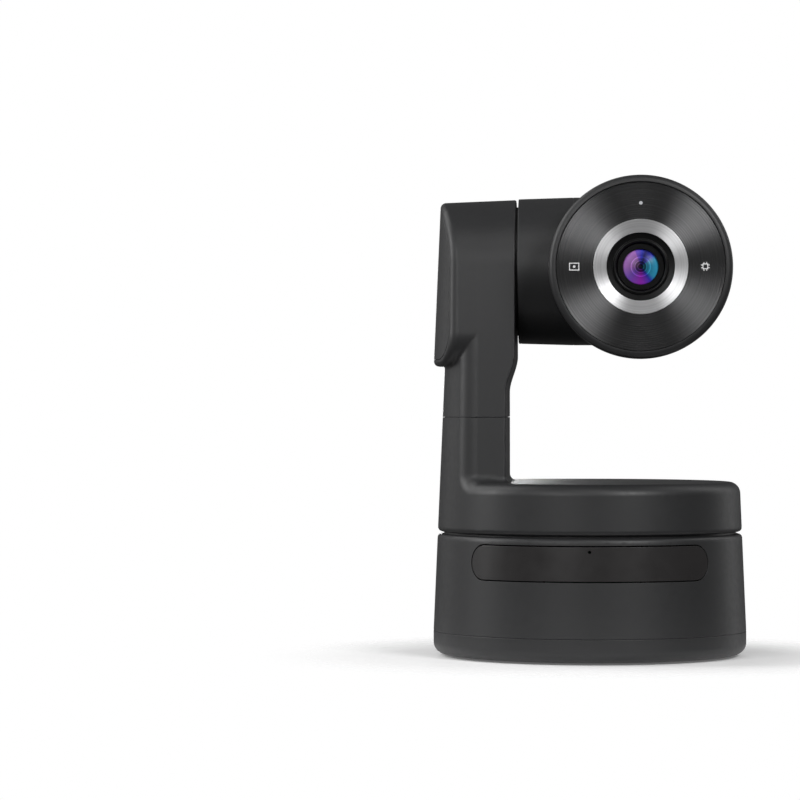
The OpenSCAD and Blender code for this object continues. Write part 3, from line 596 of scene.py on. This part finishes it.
def noise(tree, scale, detail=3.0):
    """Noise over the object's own coordinates."""
    coords = tree.nodes.new("ShaderNodeTexCoord")
    node = tree.nodes.new("ShaderNodeTexNoise")
    node.inputs["Scale"].default_value = scale
    node.inputs["Detail"].default_value = detail
    tree.links.new(coords.outputs["Object"], node.inputs["Vector"])
    return node.outputs["Fac"]


def blend_range(tree, value, low, high):
    """A value from 0.3 to 0.7 mapped to a range."""
    node = tree.nodes.new("ShaderNodeMapRange")
    node.inputs["From Min"].default_value = 0.3
    node.inputs["From Max"].default_value = 0.7
    node.inputs["To Min"].default_value = low
    node.inputs["To Max"].default_value = high
    tree.links.new(value, node.inputs["Value"])
    return node.outputs["Result"]


def colour_ramp(tree, value, stops):
    """Colours along a value; stops are (place, colour)."""
    node = tree.nodes.new("ShaderNodeValToRGB")
    elements = node.color_ramp.elements
    while len(elements) < len(stops):
        elements.new(0.5)
    for element, (place, colour) in zip(elements, stops):
        element.position = place
        element.color = (*colour, 1)
    tree.links.new(value, node.inputs["Fac"])
    return node.outputs["Color"]


def bump(tree, height, strength, distance):
    """Normal from a height."""
    node = tree.nodes.new("ShaderNodeBump")
    node.inputs["Strength"].default_value = strength
    node.inputs["Distance"].default_value = distance
    tree.links.new(height, node.inputs["Height"])
    return node.outputs["Normal"]


def toned(colour, factor):
    """A colour made lighter or darker."""
    return tuple(c * factor for c in colour)


def plastic(name, colour, rough, spread=0.03, grain=2600, depth=0.00002, specular=0.5):
    """Moulded plastic or rubber: fine grain, with slight changes of tone and gloss."""
    material, tree, shader = node_tree(name)
    tone = colour_ramp(tree, noise(tree, 55), [(0.35, toned(colour, 0.97)), (0.65, toned(colour, 1.03))])
    tree.links.new(tone, shader.inputs["Base Color"])
    gloss = blend_range(tree, noise(tree, 450), rough - spread, rough + spread)
    tree.links.new(gloss, shader.inputs["Roughness"])
    tree.links.new(bump(tree, noise(tree, grain, 2), 0.35, depth), shader.inputs["Normal"])
    shader.inputs["Specular IOR Level"].default_value = specular
    return material


def metal(name, colour, rough, spread=0.05, turned_marks=0.0):
    """Metal with fine tool marks; turned_marks makes it glint like a turned face."""
    material, tree, shader = node_tree(name)
    marks = ring_noise(tree, 1500, 4) if turned_marks else noise(tree, 900, 4)
    tone = colour_ramp(tree, marks, [(0.3, toned(colour, 0.9)), (0.7, toned(colour, 1.08))])
    tree.links.new(tone, shader.inputs["Base Color"])
    gloss = blend_range(tree, noise(tree, 220), rough - spread, rough + spread)
    tree.links.new(gloss, shader.inputs["Roughness"])
    tree.links.new(bump(tree, marks, 0.3, 0.00001), shader.inputs["Normal"])
    shader.inputs["Metallic"].default_value = 1
    if turned_marks:
        tangent = tree.nodes.new("ShaderNodeTangent")
        tangent.direction_type = "RADIAL"
        tangent.axis = "Z"
        tree.links.new(tangent.outputs["Tangent"], shader.inputs["Tangent"])
        shader.inputs["Anisotropic"].default_value = turned_marks
        shader.inputs["Anisotropic Rotation"].default_value = 0.25
    return material


def circuit_board(name):
    """Solder mask with tracks that show faintly through it."""
    material, tree, shader = node_tree(name)
    coords = tree.nodes.new("ShaderNodeTexCoord")
    cells = tree.nodes.new("ShaderNodeTexVoronoi")
    cells.distance = "CHEBYCHEV"
    cells.inputs["Scale"].default_value = 260
    tree.links.new(coords.outputs["Object"], cells.inputs["Vector"])
    green = (0.012, 0.09, 0.045)
    tone = colour_ramp(tree, cells.outputs["Distance"],
                       [(0.3, green), (0.34, toned(green, 1.5)), (0.5, toned(green, 0.9))])
    tree.links.new(tone, shader.inputs["Base Color"])
    gloss = blend_range(tree, noise(tree, 400), 0.3, 0.42)
    tree.links.new(gloss, shader.inputs["Roughness"])
    return material


def window_plastic(name):
    """Dark plastic that lets infrared light through, slightly red and glossy."""
    material, tree, shader = node_tree(name)
    darker, lighter = (0.0185, 0.017, 0.0171), (0.0215, 0.020, 0.0201)
    tone = colour_ramp(tree, noise(tree, 60), [(0.35, darker), (0.65, lighter)])
    tree.links.new(tone, shader.inputs["Base Color"])
    gloss = blend_range(tree, noise(tree, 150), 0.3, 0.36)
    tree.links.new(gloss, shader.inputs["Roughness"])
    return material


def lens_glass(name):
    """Coated glass with painted reflections: the coating's coloured reflections are painted round the lens
    by angle, and painted light and dark rings towards its rim stand for reflections of the inner lenses.
    """
    material, tree, shader = node_tree(name)
    coords = tree.nodes.new("ShaderNodeTexCoord")
    split = tree.nodes.new("ShaderNodeSeparateXYZ")
    tree.links.new(coords.outputs["Object"], split.inputs["Vector"])
    angle = tree.nodes.new("ShaderNodeMath")
    angle.operation = "ARCTAN2"
    tree.links.new(split.outputs["Y"], angle.inputs[0])
    tree.links.new(split.outputs["X"], angle.inputs[1])
    around = tree.nodes.new("ShaderNodeMapRange")
    around.inputs["From Min"].default_value = -math.pi
    around.inputs["From Max"].default_value = math.pi
    tree.links.new(angle.outputs["Value"], around.inputs["Value"])
    pink, violet, magenta = (0.60, 0.26, 0.80), (0.30, 0.14, 0.80), (0.52, 0.05, 0.80)
    blue, cyan, night = (0.05, 0.06, 0.66), (0.05, 0.42, 0.68), (0.03, 0.03, 0.20)
    # Painted reflection: the coating's reflected colours are laid into the base colour by the angle round
    # the lens.
    painted_coating_reflection = colour_ramp(tree, around.outputs["Result"], [
        (0.0, pink), (0.12, violet), (0.25, magenta), (0.35, blue), (0.40, cyan),
        (0.58, cyan), (0.62, blue), (0.70, night), (0.74, blue), (0.80, violet), (0.81, pink), (1.0, pink)])
    outwards = tree.nodes.new("ShaderNodeMapRange")
    outwards.inputs["From Max"].default_value = 0.00665
    tree.links.new(axis_distance(tree), outwards.inputs["Value"])
    # Painted reflections: light and dark rings by radius stand for the inner lens elements reflecting
    # light.
    painted_lens_ring_reflections = colour_ramp(tree, outwards.outputs["Result"], [
        (stop, (level, level, level)) for stop, level in (
            (0.0, 0.02), (0.14, 0.03), (0.17, 0.25), (0.21, 0.06), (0.30, 0.12), (0.33, 0.55),
            (0.37, 0.25), (0.50, 0.5), (0.54, 1.0), (0.58, 0.45), (0.72, 0.6), (0.94, 0.8), (1.0, 0.2))])
    mix = tree.nodes.new("ShaderNodeMix")
    mix.data_type = "RGBA"
    mix.blend_type = "MULTIPLY"
    mix.inputs["Factor"].default_value = 1
    tree.links.new(painted_coating_reflection, mix.inputs["A"])
    tree.links.new(painted_lens_ring_reflections, mix.inputs["B"])
    tree.links.new(mix.outputs["Result"], shader.inputs["Base Color"])
    gloss = blend_range(tree, noise(tree, 500), 0.24, 0.3)
    tree.links.new(gloss, shader.inputs["Roughness"])
    shader.inputs["Specular IOR Level"].default_value = 0.15
    return material


def glowing(name, colour, strength):
    """A lit light pipe."""
    material, tree, shader = node_tree(name)
    tone = colour_ramp(tree, noise(tree, 900), [(0.3, toned(colour, 0.92)), (0.7, colour)])
    tree.links.new(tone, shader.inputs["Base Color"])
    tree.links.new(tone, shader.inputs["Emission Color"])
    shader.inputs["Emission Strength"].default_value = strength
    shader.inputs["Roughness"].default_value = 0.3
    return material


CHARCOAL = (0.021, 0.0212, 0.0222)
BLACK = (0.003, 0.003, 0.0032)
MATERIALS = {
    "housing": plastic("housing", CHARCOAL, 0.46),
    "black_plastic": plastic("black_plastic", BLACK, 0.34, grain=1500, specular=0.2),
    "rubber": plastic("rubber", (0.012, 0.012, 0.013), 0.75, grain=900, depth=0.00006),
    "window": window_plastic("window"),
    "pcb": circuit_board("pcb"),
    "steel": metal("steel", (0.42, 0.43, 0.45), 0.34),
    "bright_steel": metal("bright_steel", (0.62, 0.63, 0.65), 0.18),
    "alloy": metal("alloy", (0.55, 0.56, 0.58), 0.42),
    "brass": metal("brass", (0.62, 0.43, 0.16), 0.28),
    "face_metal": metal("face_metal", (0.12, 0.12, 0.122), 0.37, 0.02, turned_marks=0.95),
    "ring_metal": metal("ring_metal", (0.82, 0.82, 0.83), 0.42, 0.005, turned_marks=0.85),
    # lens_glass has painted reflections of its coating and of the inner lenses in its colour.
    "lens_glass": lens_glass("lens_glass"),
    "light_pipe": glowing("light_pipe", (0.5, 0.51, 0.53), 0.25),
}
MARK_INK = plastic("mark_ink", (0.88, 0.88, 0.88), 0.5)

# ---- base ----


def bottom_cover():
    """Dished cover with a rounded lower edge."""
    r = body_r(SEAM_Z)
    top = SEAM_Z - 0.05
    outline = rounded([
        (0, FOOT_H, 0), (r, FOOT_H, BOTTOM_EDGE_R), (r, top, 0.25), (r - WALL, top, 0.2),
        (r - WALL, FLOOR_Z, 2), (0, FLOOR_Z, 0)], steps=8)
    add_piece("bottom_cover_skin", turned(outline, 192), "housing", "base", ["bottom_cover"])


def base_shell():
    """Base shell: port recess, window opening, collar and a deck with a hub hole."""
    mesh = net(base, (-62, -62, 7), (62, 62, 48.5), 1.0)
    mesh = trimmed(mesh, lambda p: SEAM_Z + 0.05 - p[..., 2], base)
    deck = lambda p: 53 - np.hypot(p[..., 0], p[..., 1]) - 60 * (p[..., 2] < 44)
    mesh = cut(mesh, deck, base)
    mesh = trimmed(mesh, lambda p: -window_outline(p, 0.28), base, 0.1)
    elsewhere = lambda p: (port_outline(p) > 0.5) | (p[..., 1] < 40)
    recess_floor = lambda p: PORT_Y - 0.1 - p[..., 1] - 200 * elsewhere(p)
    mesh = cut(mesh, recess_floor, base)
    collar = rounded([
        (COLLAR[0], DECK_Z - 1, 0), (COLLAR[1], DECK_Z - 1, 0), (COLLAR[1], DECK_Z + COLLAR_H, 0.4),
        (COLLAR[0], DECK_Z + COLLAR_H, 0.4)], steps=3)
    plate = [(DECK_HOLE_R, DECK_Z - 2.4), (COLLAR[1], DECK_Z - 2.4), (COLLAR[1], DECK_Z),
             (DECK_HOLE_R, DECK_Z)]
    patches = shell(mesh, base) + turned(collar, 128) + turned(plate, 128)
    add_piece("base_shell_skin", patches, "housing", "base", ["base_shell"])


def ir_window():
    """Infrared window, flush in the base shell."""
    near = np.linspace(-0.9, 0.9, 15)
    wide = np.linspace(-WINDOW_ANGLE - 3, WINDOW_ANGLE + 3, 150)
    angles = np.sort(np.radians(np.concatenate([wide, near])))
    heights = np.linspace(WINDOW_Z - 2, WINDOW_Z + WINDOW_H + 2, 22)
    heights = np.sort(np.concatenate([heights, SENSOR_HOLE_Z + near]))
    a, z = np.meshgrid(angles, heights, indexing="ij")
    mesh = sheet(np.stack([body_r(z) * np.sin(a), -body_r(z) * np.cos(a), z], axis=-1), cone)
    mesh = trimmed(mesh, lambda p: window_outline(p, -0.2), cone, 0.1)
    hole = lambda p: SENSOR_HOLE_R - np.hypot(p[..., 0], p[..., 2] - SENSOR_HOLE_Z)
    mesh = trimmed(mesh, hole, cone, 0)
    add_piece("ir_window_pane", shell(mesh, cone, 1.8, 0.06), "window", "base", ["ir_window"])


# ---- turntable and arm ----


def turntable_shell():
    """Turntable with the lower part of the arm."""
    mesh = net(tower, (-61, -61, 46.5), (61, 61, ARM_SEAM_Z + 1.5), 0.9)
    mesh = trimmed(mesh, lambda p: p[..., 2] - ARM_SEAM_Z + SEAM_GAP / 2, tower)
    under = lambda p: 56.2 - np.hypot(p[..., 0], p[..., 1]) - 200 * (p[..., 2] > 49)
    mesh = cut(mesh, under, tower)
    seam = [lambda p: np.abs(p[..., 2] - ARM_SEAM_Z) - TONGUE_HALF_H]
    band = tongue(tower, seam, (-61, -34, ARM_SEAM_Z - 2.5), (-28, 34, ARM_SEAM_Z + 2.5))
    add_piece("turntable_skin", shell(mesh, tower) + band, "housing", "turntable", ["turntable_shell"])


def arm_shell():
    """Upper part of the arm, with the pod and the rim round its cover."""
    field = arm_with_pod
    mesh = net(field, (-62, -33, ARM_SEAM_Z - 1), (-26, 33, 177), 0.75)
    mesh = trimmed(mesh, lambda p: ARM_SEAM_Z + SEAM_GAP / 2 - p[..., 2], field)
    cover = lambda p: -np.maximum(pod_outline(p) + POD_RIM, p[..., 0] + 45)
    mesh = trimmed(mesh, cover, field)
    across = lambda p: np.hypot(p[..., 1], p[..., 2] - TILT_Z)
    opening = lambda p: np.where(p[..., 0] > -40, ARM_OPENING_R - across(p), -5)
    mesh = trimmed(mesh, opening, field)
    add_piece("arm_shell_skin", shell(mesh, field), "housing", "turntable", ["arm_shell"])


def arm_cover():
    """Cover inset in the pod."""
    skin = lambda p: cone(p, POD_PROUD)
    y = np.linspace(-30, 30, 76)
    z = np.linspace(POD_BOTTOM - 1, TILT_Z + ARCH_R, 80)
    y, z = np.meshgrid(y, z, indexing="ij")
    mesh = sheet(np.stack([-np.sqrt((body_r(z) + POD_PROUD) ** 2 - y ** 2), y, z], axis=-1), skin)
    limit = lambda p: pod_outline(p) + POD_RIM + POD_GROOVE
    mesh = trimmed(mesh, limit, skin)
    add_piece("arm_cover_skin", shell(mesh, skin, 1.8), "housing", "turntable", ["arm_cover"])


# ---- head ----


def inside_neck(p):
    """How far points lie inside the notch that the neck takes out of the head."""
    reach = NECK_END_R + 0.1 - np.hypot(p[..., 1], p[..., 2] - TILT_Z)
    return np.minimum(NECK_SEAM_X + 0.06 - p[..., 0], reach)


def head_shells():
    """Upper and lower head shells, parted at the height of the lens axis."""
    whole = net(head, (-17, -44, 111), (55, 56, 183.5), 0.9)
    whole = trimmed(whole, lambda p: -p[..., 1] - BEZEL_H + 0.05, head)
    whole = trimmed(whole, inside_neck, head)
    y, z, r = SIDE_HOLE
    hole = lambda p: np.where(p[..., 0] < HEAD_X, r - np.hypot(p[..., 1] - y, p[..., 2] - z), -5)
    whole = trimmed(whole, hole, head)
    upper = trimmed(whole, lambda p: TILT_Z + SEAM_GAP / 2 - p[..., 2], head)
    lower = trimmed(whole, lambda p: p[..., 2] - TILT_Z + SEAM_GAP / 2, head)
    height = lambda p: np.abs(p[..., 2] - TILT_Z) - TONGUE_HALF_H
    seam = [height, lambda p: -p[..., 1] - BEZEL_H + 0.5, inside_neck]
    band = tongue(head, seam, (-17, -44, TILT_Z - 2.5), (55, 56, TILT_Z + 2.5))
    add_piece("head_upper_skin", shell(upper, head), "housing", "head", ["head_upper_shell"])
    add_piece("head_lower_skin", shell(lower, head) + band, "housing", "head", ["head_lower_shell"])


def neck():
    """Neck with its journal in the arm."""
    outline = rounded([
        (12, JOURNAL_X, 0), (JOURNAL_R, JOURNAL_X, 0.3), (JOURNAL_R, NECK_X, 0.3), (NECK_R, NECK_X, 0.3),
        (NECK_END_R, NECK_SEAM_X - 0.06, 0.25), (NECK_END_R - WALL, NECK_SEAM_X - 0.06, 0),
        (NECK_END_R - WALL, NECK_X + 2, 0), (12, NECK_X + 2, 0)], steps=5)
    patches = moved(turned(outline, 160), ON_TILT)
    add_piece("neck_skin", patches, "housing", "head", ["neck_tube"])


def bezel():
    """Rounded rim round the face."""
    r = HEAD_R - 0.003
    inner = r - BEZEL_EDGE_R - 0.2
    outline = rounded([
        (inner - 2, BEZEL_H + 0.05, 0), (r, BEZEL_H + 0.05, 0.2), (r, HEAD_FRONT, BEZEL_EDGE_R),
        (inner, HEAD_FRONT, 0.3), (inner, FACE_H - FACE_T - 0.2, 0), (inner - 2, FACE_H - FACE_T - 0.2, 0)],
        steps=10)
    add_piece("bezel_skin", turned(outline, 192), "housing", "head", ["front_bezel"], ON_LENS)


def face_plate():
    """Spun metal disc with fine grooves all the way out."""
    inner, outer = FACE_BORE + 0.1, FACE_R
    pitch = 0.8
    count = int((outer - inner - 0.6) / pitch)
    depth, front = 0.03, []
    for n in range(2 * count, -1, -1):
        radius = inner + 0.3 + n * pitch / 2
        front.append((radius, FACE_H - (depth if n % 2 else 0)))
    outline = [(inner, FACE_H - FACE_T), (outer, FACE_H - FACE_T), (outer, FACE_H - 0.15),
               (outer - 0.15, FACE_H)] + front + [(inner + 0.1, FACE_H - 0.02), (inner, FACE_H - 0.15)]
    add_piece("face_disc", turned(outline, 256, sharp=3), "face_metal", "head", ["face_plate"], ON_LENS)


def ring():
    """Bright conical ring round the lens hood."""
    outline = rounded([
        (HOOD_R + 0.05, 45, 0), (FACE_BORE, 45, 0), (FACE_BORE, FACE_H + 0.1, 0.15),
        (HOOD_R + 0.05, FACE_H - 0.4, 0.2)], steps=4)
    add_piece("lens_ring_skin", turned(outline, 192), "ring_metal", "head", ["lens_ring"], ON_LENS)


def hood():
    """Black hood with a rounded lip, and a plain inner wall round the barrel."""
    lip = [(LIP_R - 0.7 + 0.7 * math.cos(a), FACE_H - 1.5 + 0.7 * math.sin(a))
           for a in np.linspace(-0.2, math.pi, 14)]
    outline = [(BARREL_R + 0.05, 40), (HOOD_R, 40), (HOOD_R, FACE_H - 1.4), (LIP_R + 0.3, FACE_H - 1.75)]
    outline += lip + [(BARREL_R + 0.05, FACE_H - 2.6)]
    add_piece("lens_hood_skin", turned(outline, 160), "black_plastic", "head", ["lens_hood"], ON_LENS)


def glass():
    """Front lens, domed on both sides."""
    rim, mid, half, front_r, back_r = 6.65, FACE_H - 4.6, 1.4, 13, 40
    front_c = mid + half - math.sqrt(front_r ** 2 - rim ** 2)
    back_c = mid - half + math.sqrt(back_r ** 2 - rim ** 2)
    front_a = math.asin(rim / front_r)
    back_a = math.asin(rim / back_r)
    outline = [(back_r * math.sin(a), back_c - back_r * math.cos(a)) for a in np.linspace(0, back_a, 8)]
    outline += [(front_r * math.sin(a), front_c + front_r * math.cos(a))
                for a in np.linspace(front_a, 0, 16)]
    patches = turned(outline, 128, closed=False)
    add_piece("front_lens_glass", patches, "lens_glass", "head", ["front_lens"], ON_LENS)


def mark_patches(outline, height=0.04):
    """A thin raised mark on the face plate from a closed outline in its plane."""
    count = len(outline)
    base_points = [(x, y, FACE_H - 0.05) for x, y in outline]
    top_points = [(x, y, FACE_H + height) for x, y in outline]
    up = np.tile([0.0, 0.0, 1.0], (count, 1))
    patches = [(np.array(top_points), up, [list(range(count))])]
    for n in range(count):
        m = (n + 1) % count
        quad = np.array([base_points[n], base_points[m], top_points[m], top_points[n]])
        out = unit(np.cross(quad[1] - quad[0], [0.0, 0.0, 1.0]))
        patches.append((quad, np.tile(out, (4, 1)), [[0, 1, 2, 3]]))
    return patches


def bar(x0, y0, x1, y1):
    """Rectangle outline, anticlockwise."""
    return [(x0, y0), (x1, y0), (x1, y1), (x0, y1)]


def disc(x, y, r, count=20):
    """Circle outline, anticlockwise."""
    return [(x + r * math.cos(a), y + r * math.sin(a))
            for a in np.linspace(0, 2 * math.pi, count, endpoint=False)]


def face_marks():
    """Plain marks left and right of the lens: a picture frame and a chip."""
    frame_mark = []
    x, w, h, t = -24.7, 1.9, 1.45, 0.36
    for outline in (bar(x - w, -h, x + w, -h + t), bar(x - w, h - t, x + w, h),
                    bar(x - w, -h + t, x - w + t, h - t), bar(x + w - t, -h + t, x + w, h - t),
                    disc(x, 0, 0.5)):
        frame_mark += mark_patches(outline)
    chip_mark = []
    x, w, t = 23.85, 1.05, 0.34
    for outline in (bar(x - w, -w, x + w, -w + t), bar(x - w, w - t, x + w, w),
                    bar(x - w, -w + t, x - w + t, w - t), bar(x + w - t, -w + t, x + w, w - t)):
        chip_mark += mark_patches(outline)
    for s in (-0.5, 0.5):
        for side in (-1, 1):
            a, b = sorted((side * w, side * (w + 0.55)))
            chip_mark += mark_patches(bar(x + s - 0.15, a, x + s + 0.15, b))
            chip_mark += mark_patches(bar(x + a, s - 0.15, x + b, s + 0.15))
    for name, patches in (("mark_frame", frame_mark), ("mark_chip", chip_mark)):
        obj = make_object(name, patches, MARK_INK, ON_LENS)
        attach(obj, "head")


# ---- CAD nodes that stay as they are ----


def finish_cad_nodes():
    """Gives each CAD node the material of its slot in the record."""
    for part in frame["record"]["subparts"]:
        mesh = frame["nodes"][part["node"]].data
        mesh.materials.clear()
        mesh.materials.append(MATERIALS[part["material_slot"]])


# ---- studio ----


def area_light(name, place, target, size, power):
    """Soft rectangular light that looks at a point, in metres and watts."""
    data = bpy.data.lights.new(name, "AREA")
    data.shape = "RECTANGLE"
    data.size, data.size_y = size
    data.energy = power
    obj = bpy.data.objects.new(name, data)
    obj.location = place
    aim = Vector(target) - Vector(place)
    obj.rotation_euler = aim.to_track_quat("-Z", "Y").to_euler()
    obj.visible_camera = False
    bpy.context.scene.collection.objects.link(obj)


def studio():
    """Pale floor that fades into a white backdrop, and soft lights."""
    world = bpy.data.worlds.new("studio")
    world.use_nodes = True
    tree = world.node_tree
    ambient = tree.nodes["Background"]
    ambient.inputs["Color"].default_value = (1, 1, 1, 1)
    ambient.inputs["Strength"].default_value = 0.09
    backdrop = tree.nodes.new("ShaderNodeBackground")
    backdrop.inputs["Color"].default_value = (1, 1, 1, 1)
    seen = tree.nodes.new("ShaderNodeLightPath")
    mix = tree.nodes.new("ShaderNodeMixShader")
    tree.links.new(seen.outputs["Is Camera Ray"], mix.inputs[0])
    tree.links.new(ambient.outputs[0], mix.inputs[1])
    tree.links.new(backdrop.outputs[0], mix.inputs[2])
    tree.links.new(mix.outputs[0], tree.nodes["World Output"].inputs["Surface"])
    bpy.context.scene.world = world
    floor()
    aim = (0, 0, 0.09)
    area_light("top_left", (-0.9, 0.3, 1.0), aim, (0.8, 0.8), 4.5)
    area_light("top_right", (0.9, 0.3, 1.0), aim, (0.8, 0.8), 2)
    area_light("top_front", (0, -0.8, 1.2), aim, (0.5, 0.3), 1.4)
    area_light("key_left", (-0.75, -1.15, 0.8), aim, (0.5, 0.5), 3)
    area_light("key_right", (0.75, -1.15, 0.8), aim, (0.5, 0.5), 11)
    area_light("side_left", (-1.25, -0.1, 0.5), aim, (0.4, 0.6), 6)
    area_light("front_left", (-0.42, -1.3, 0.5), aim, (0.3, 0.3), 2.6)
    area_light("rim_left", (-0.95, 0.75, 0.35), aim, (0.25, 0.9), 0.8)
    area_light("rim_right", (0.95, 0.75, 0.35), aim, (0.25, 0.9), 1.4)
    area_light("back_left", (-0.12, 1.3, 0.14), aim, (0.16, 0.12), 1.6)


def floor():
    """Pale floor, clear towards its rim so that it has no horizon."""
    bpy.ops.mesh.primitive_circle_add(vertices=96, radius=1.2, fill_type="NGON", location=(0, 0, -0.0001))
    obj = bpy.context.object
    obj.name = "floor"
    material, tree, shader = node_tree("floor_paint")
    tone = colour_ramp(tree, noise(tree, 3), [(0.3, (0.93, 0.93, 0.93)), (0.7, (0.96, 0.96, 0.96))])
    tree.links.new(tone, shader.inputs["Base Color"])
    tree.links.new(tone, shader.inputs["Emission Color"])
    shader.inputs["Emission Strength"].default_value = 0.12
    shader.inputs["Roughness"].default_value = 0.9
    shader.inputs["Specular IOR Level"].default_value = 0.1
    fade = tree.nodes.new("ShaderNodeMapRange")
    fade.interpolation_type = "SMOOTHSTEP"
    fade.inputs["From Min"].default_value = 0.066
    fade.inputs["From Max"].default_value = 0.13
    tree.links.new(axis_distance(tree), fade.inputs["Value"])
    clear = tree.nodes.new("ShaderNodeBsdfTransparent")
    mix = tree.nodes.new("ShaderNodeMixShader")
    tree.links.new(fade.outputs["Result"], mix.inputs[0])
    tree.links.new(shader.outputs[0], mix.inputs[1])
    tree.links.new(clear.outputs[0], mix.inputs[2])
    tree.links.new(mix.outputs[0], tree.nodes["Material Output"].inputs["Surface"])
    obj.data.materials.append(material)


def camera():
    """Camera at the photograph's front view, level and far away."""
    data = bpy.data.cameras.new("camera")
    data.sensor_width = 36
    data.lens = 160.0965
    obj = bpy.data.objects.new("camera", data)
    obj.location = (0, -1.3708, 0.0958)
    obj.rotation_euler = (math.radians(90.09), 0, math.radians(3.05))
    bpy.context.scene.collection.objects.link(obj)
    bpy.context.scene.camera = obj


bottom_cover()
base_shell()
ir_window()
turntable_shell()
arm_shell()
arm_cover()
head_shells()
neck()
bezel()
face_plate()
ring()
hood()
glass()
face_marks()
finish_cad_nodes()
studio()
camera()
bpy.context.scene.view_settings.view_transform = "Standard"
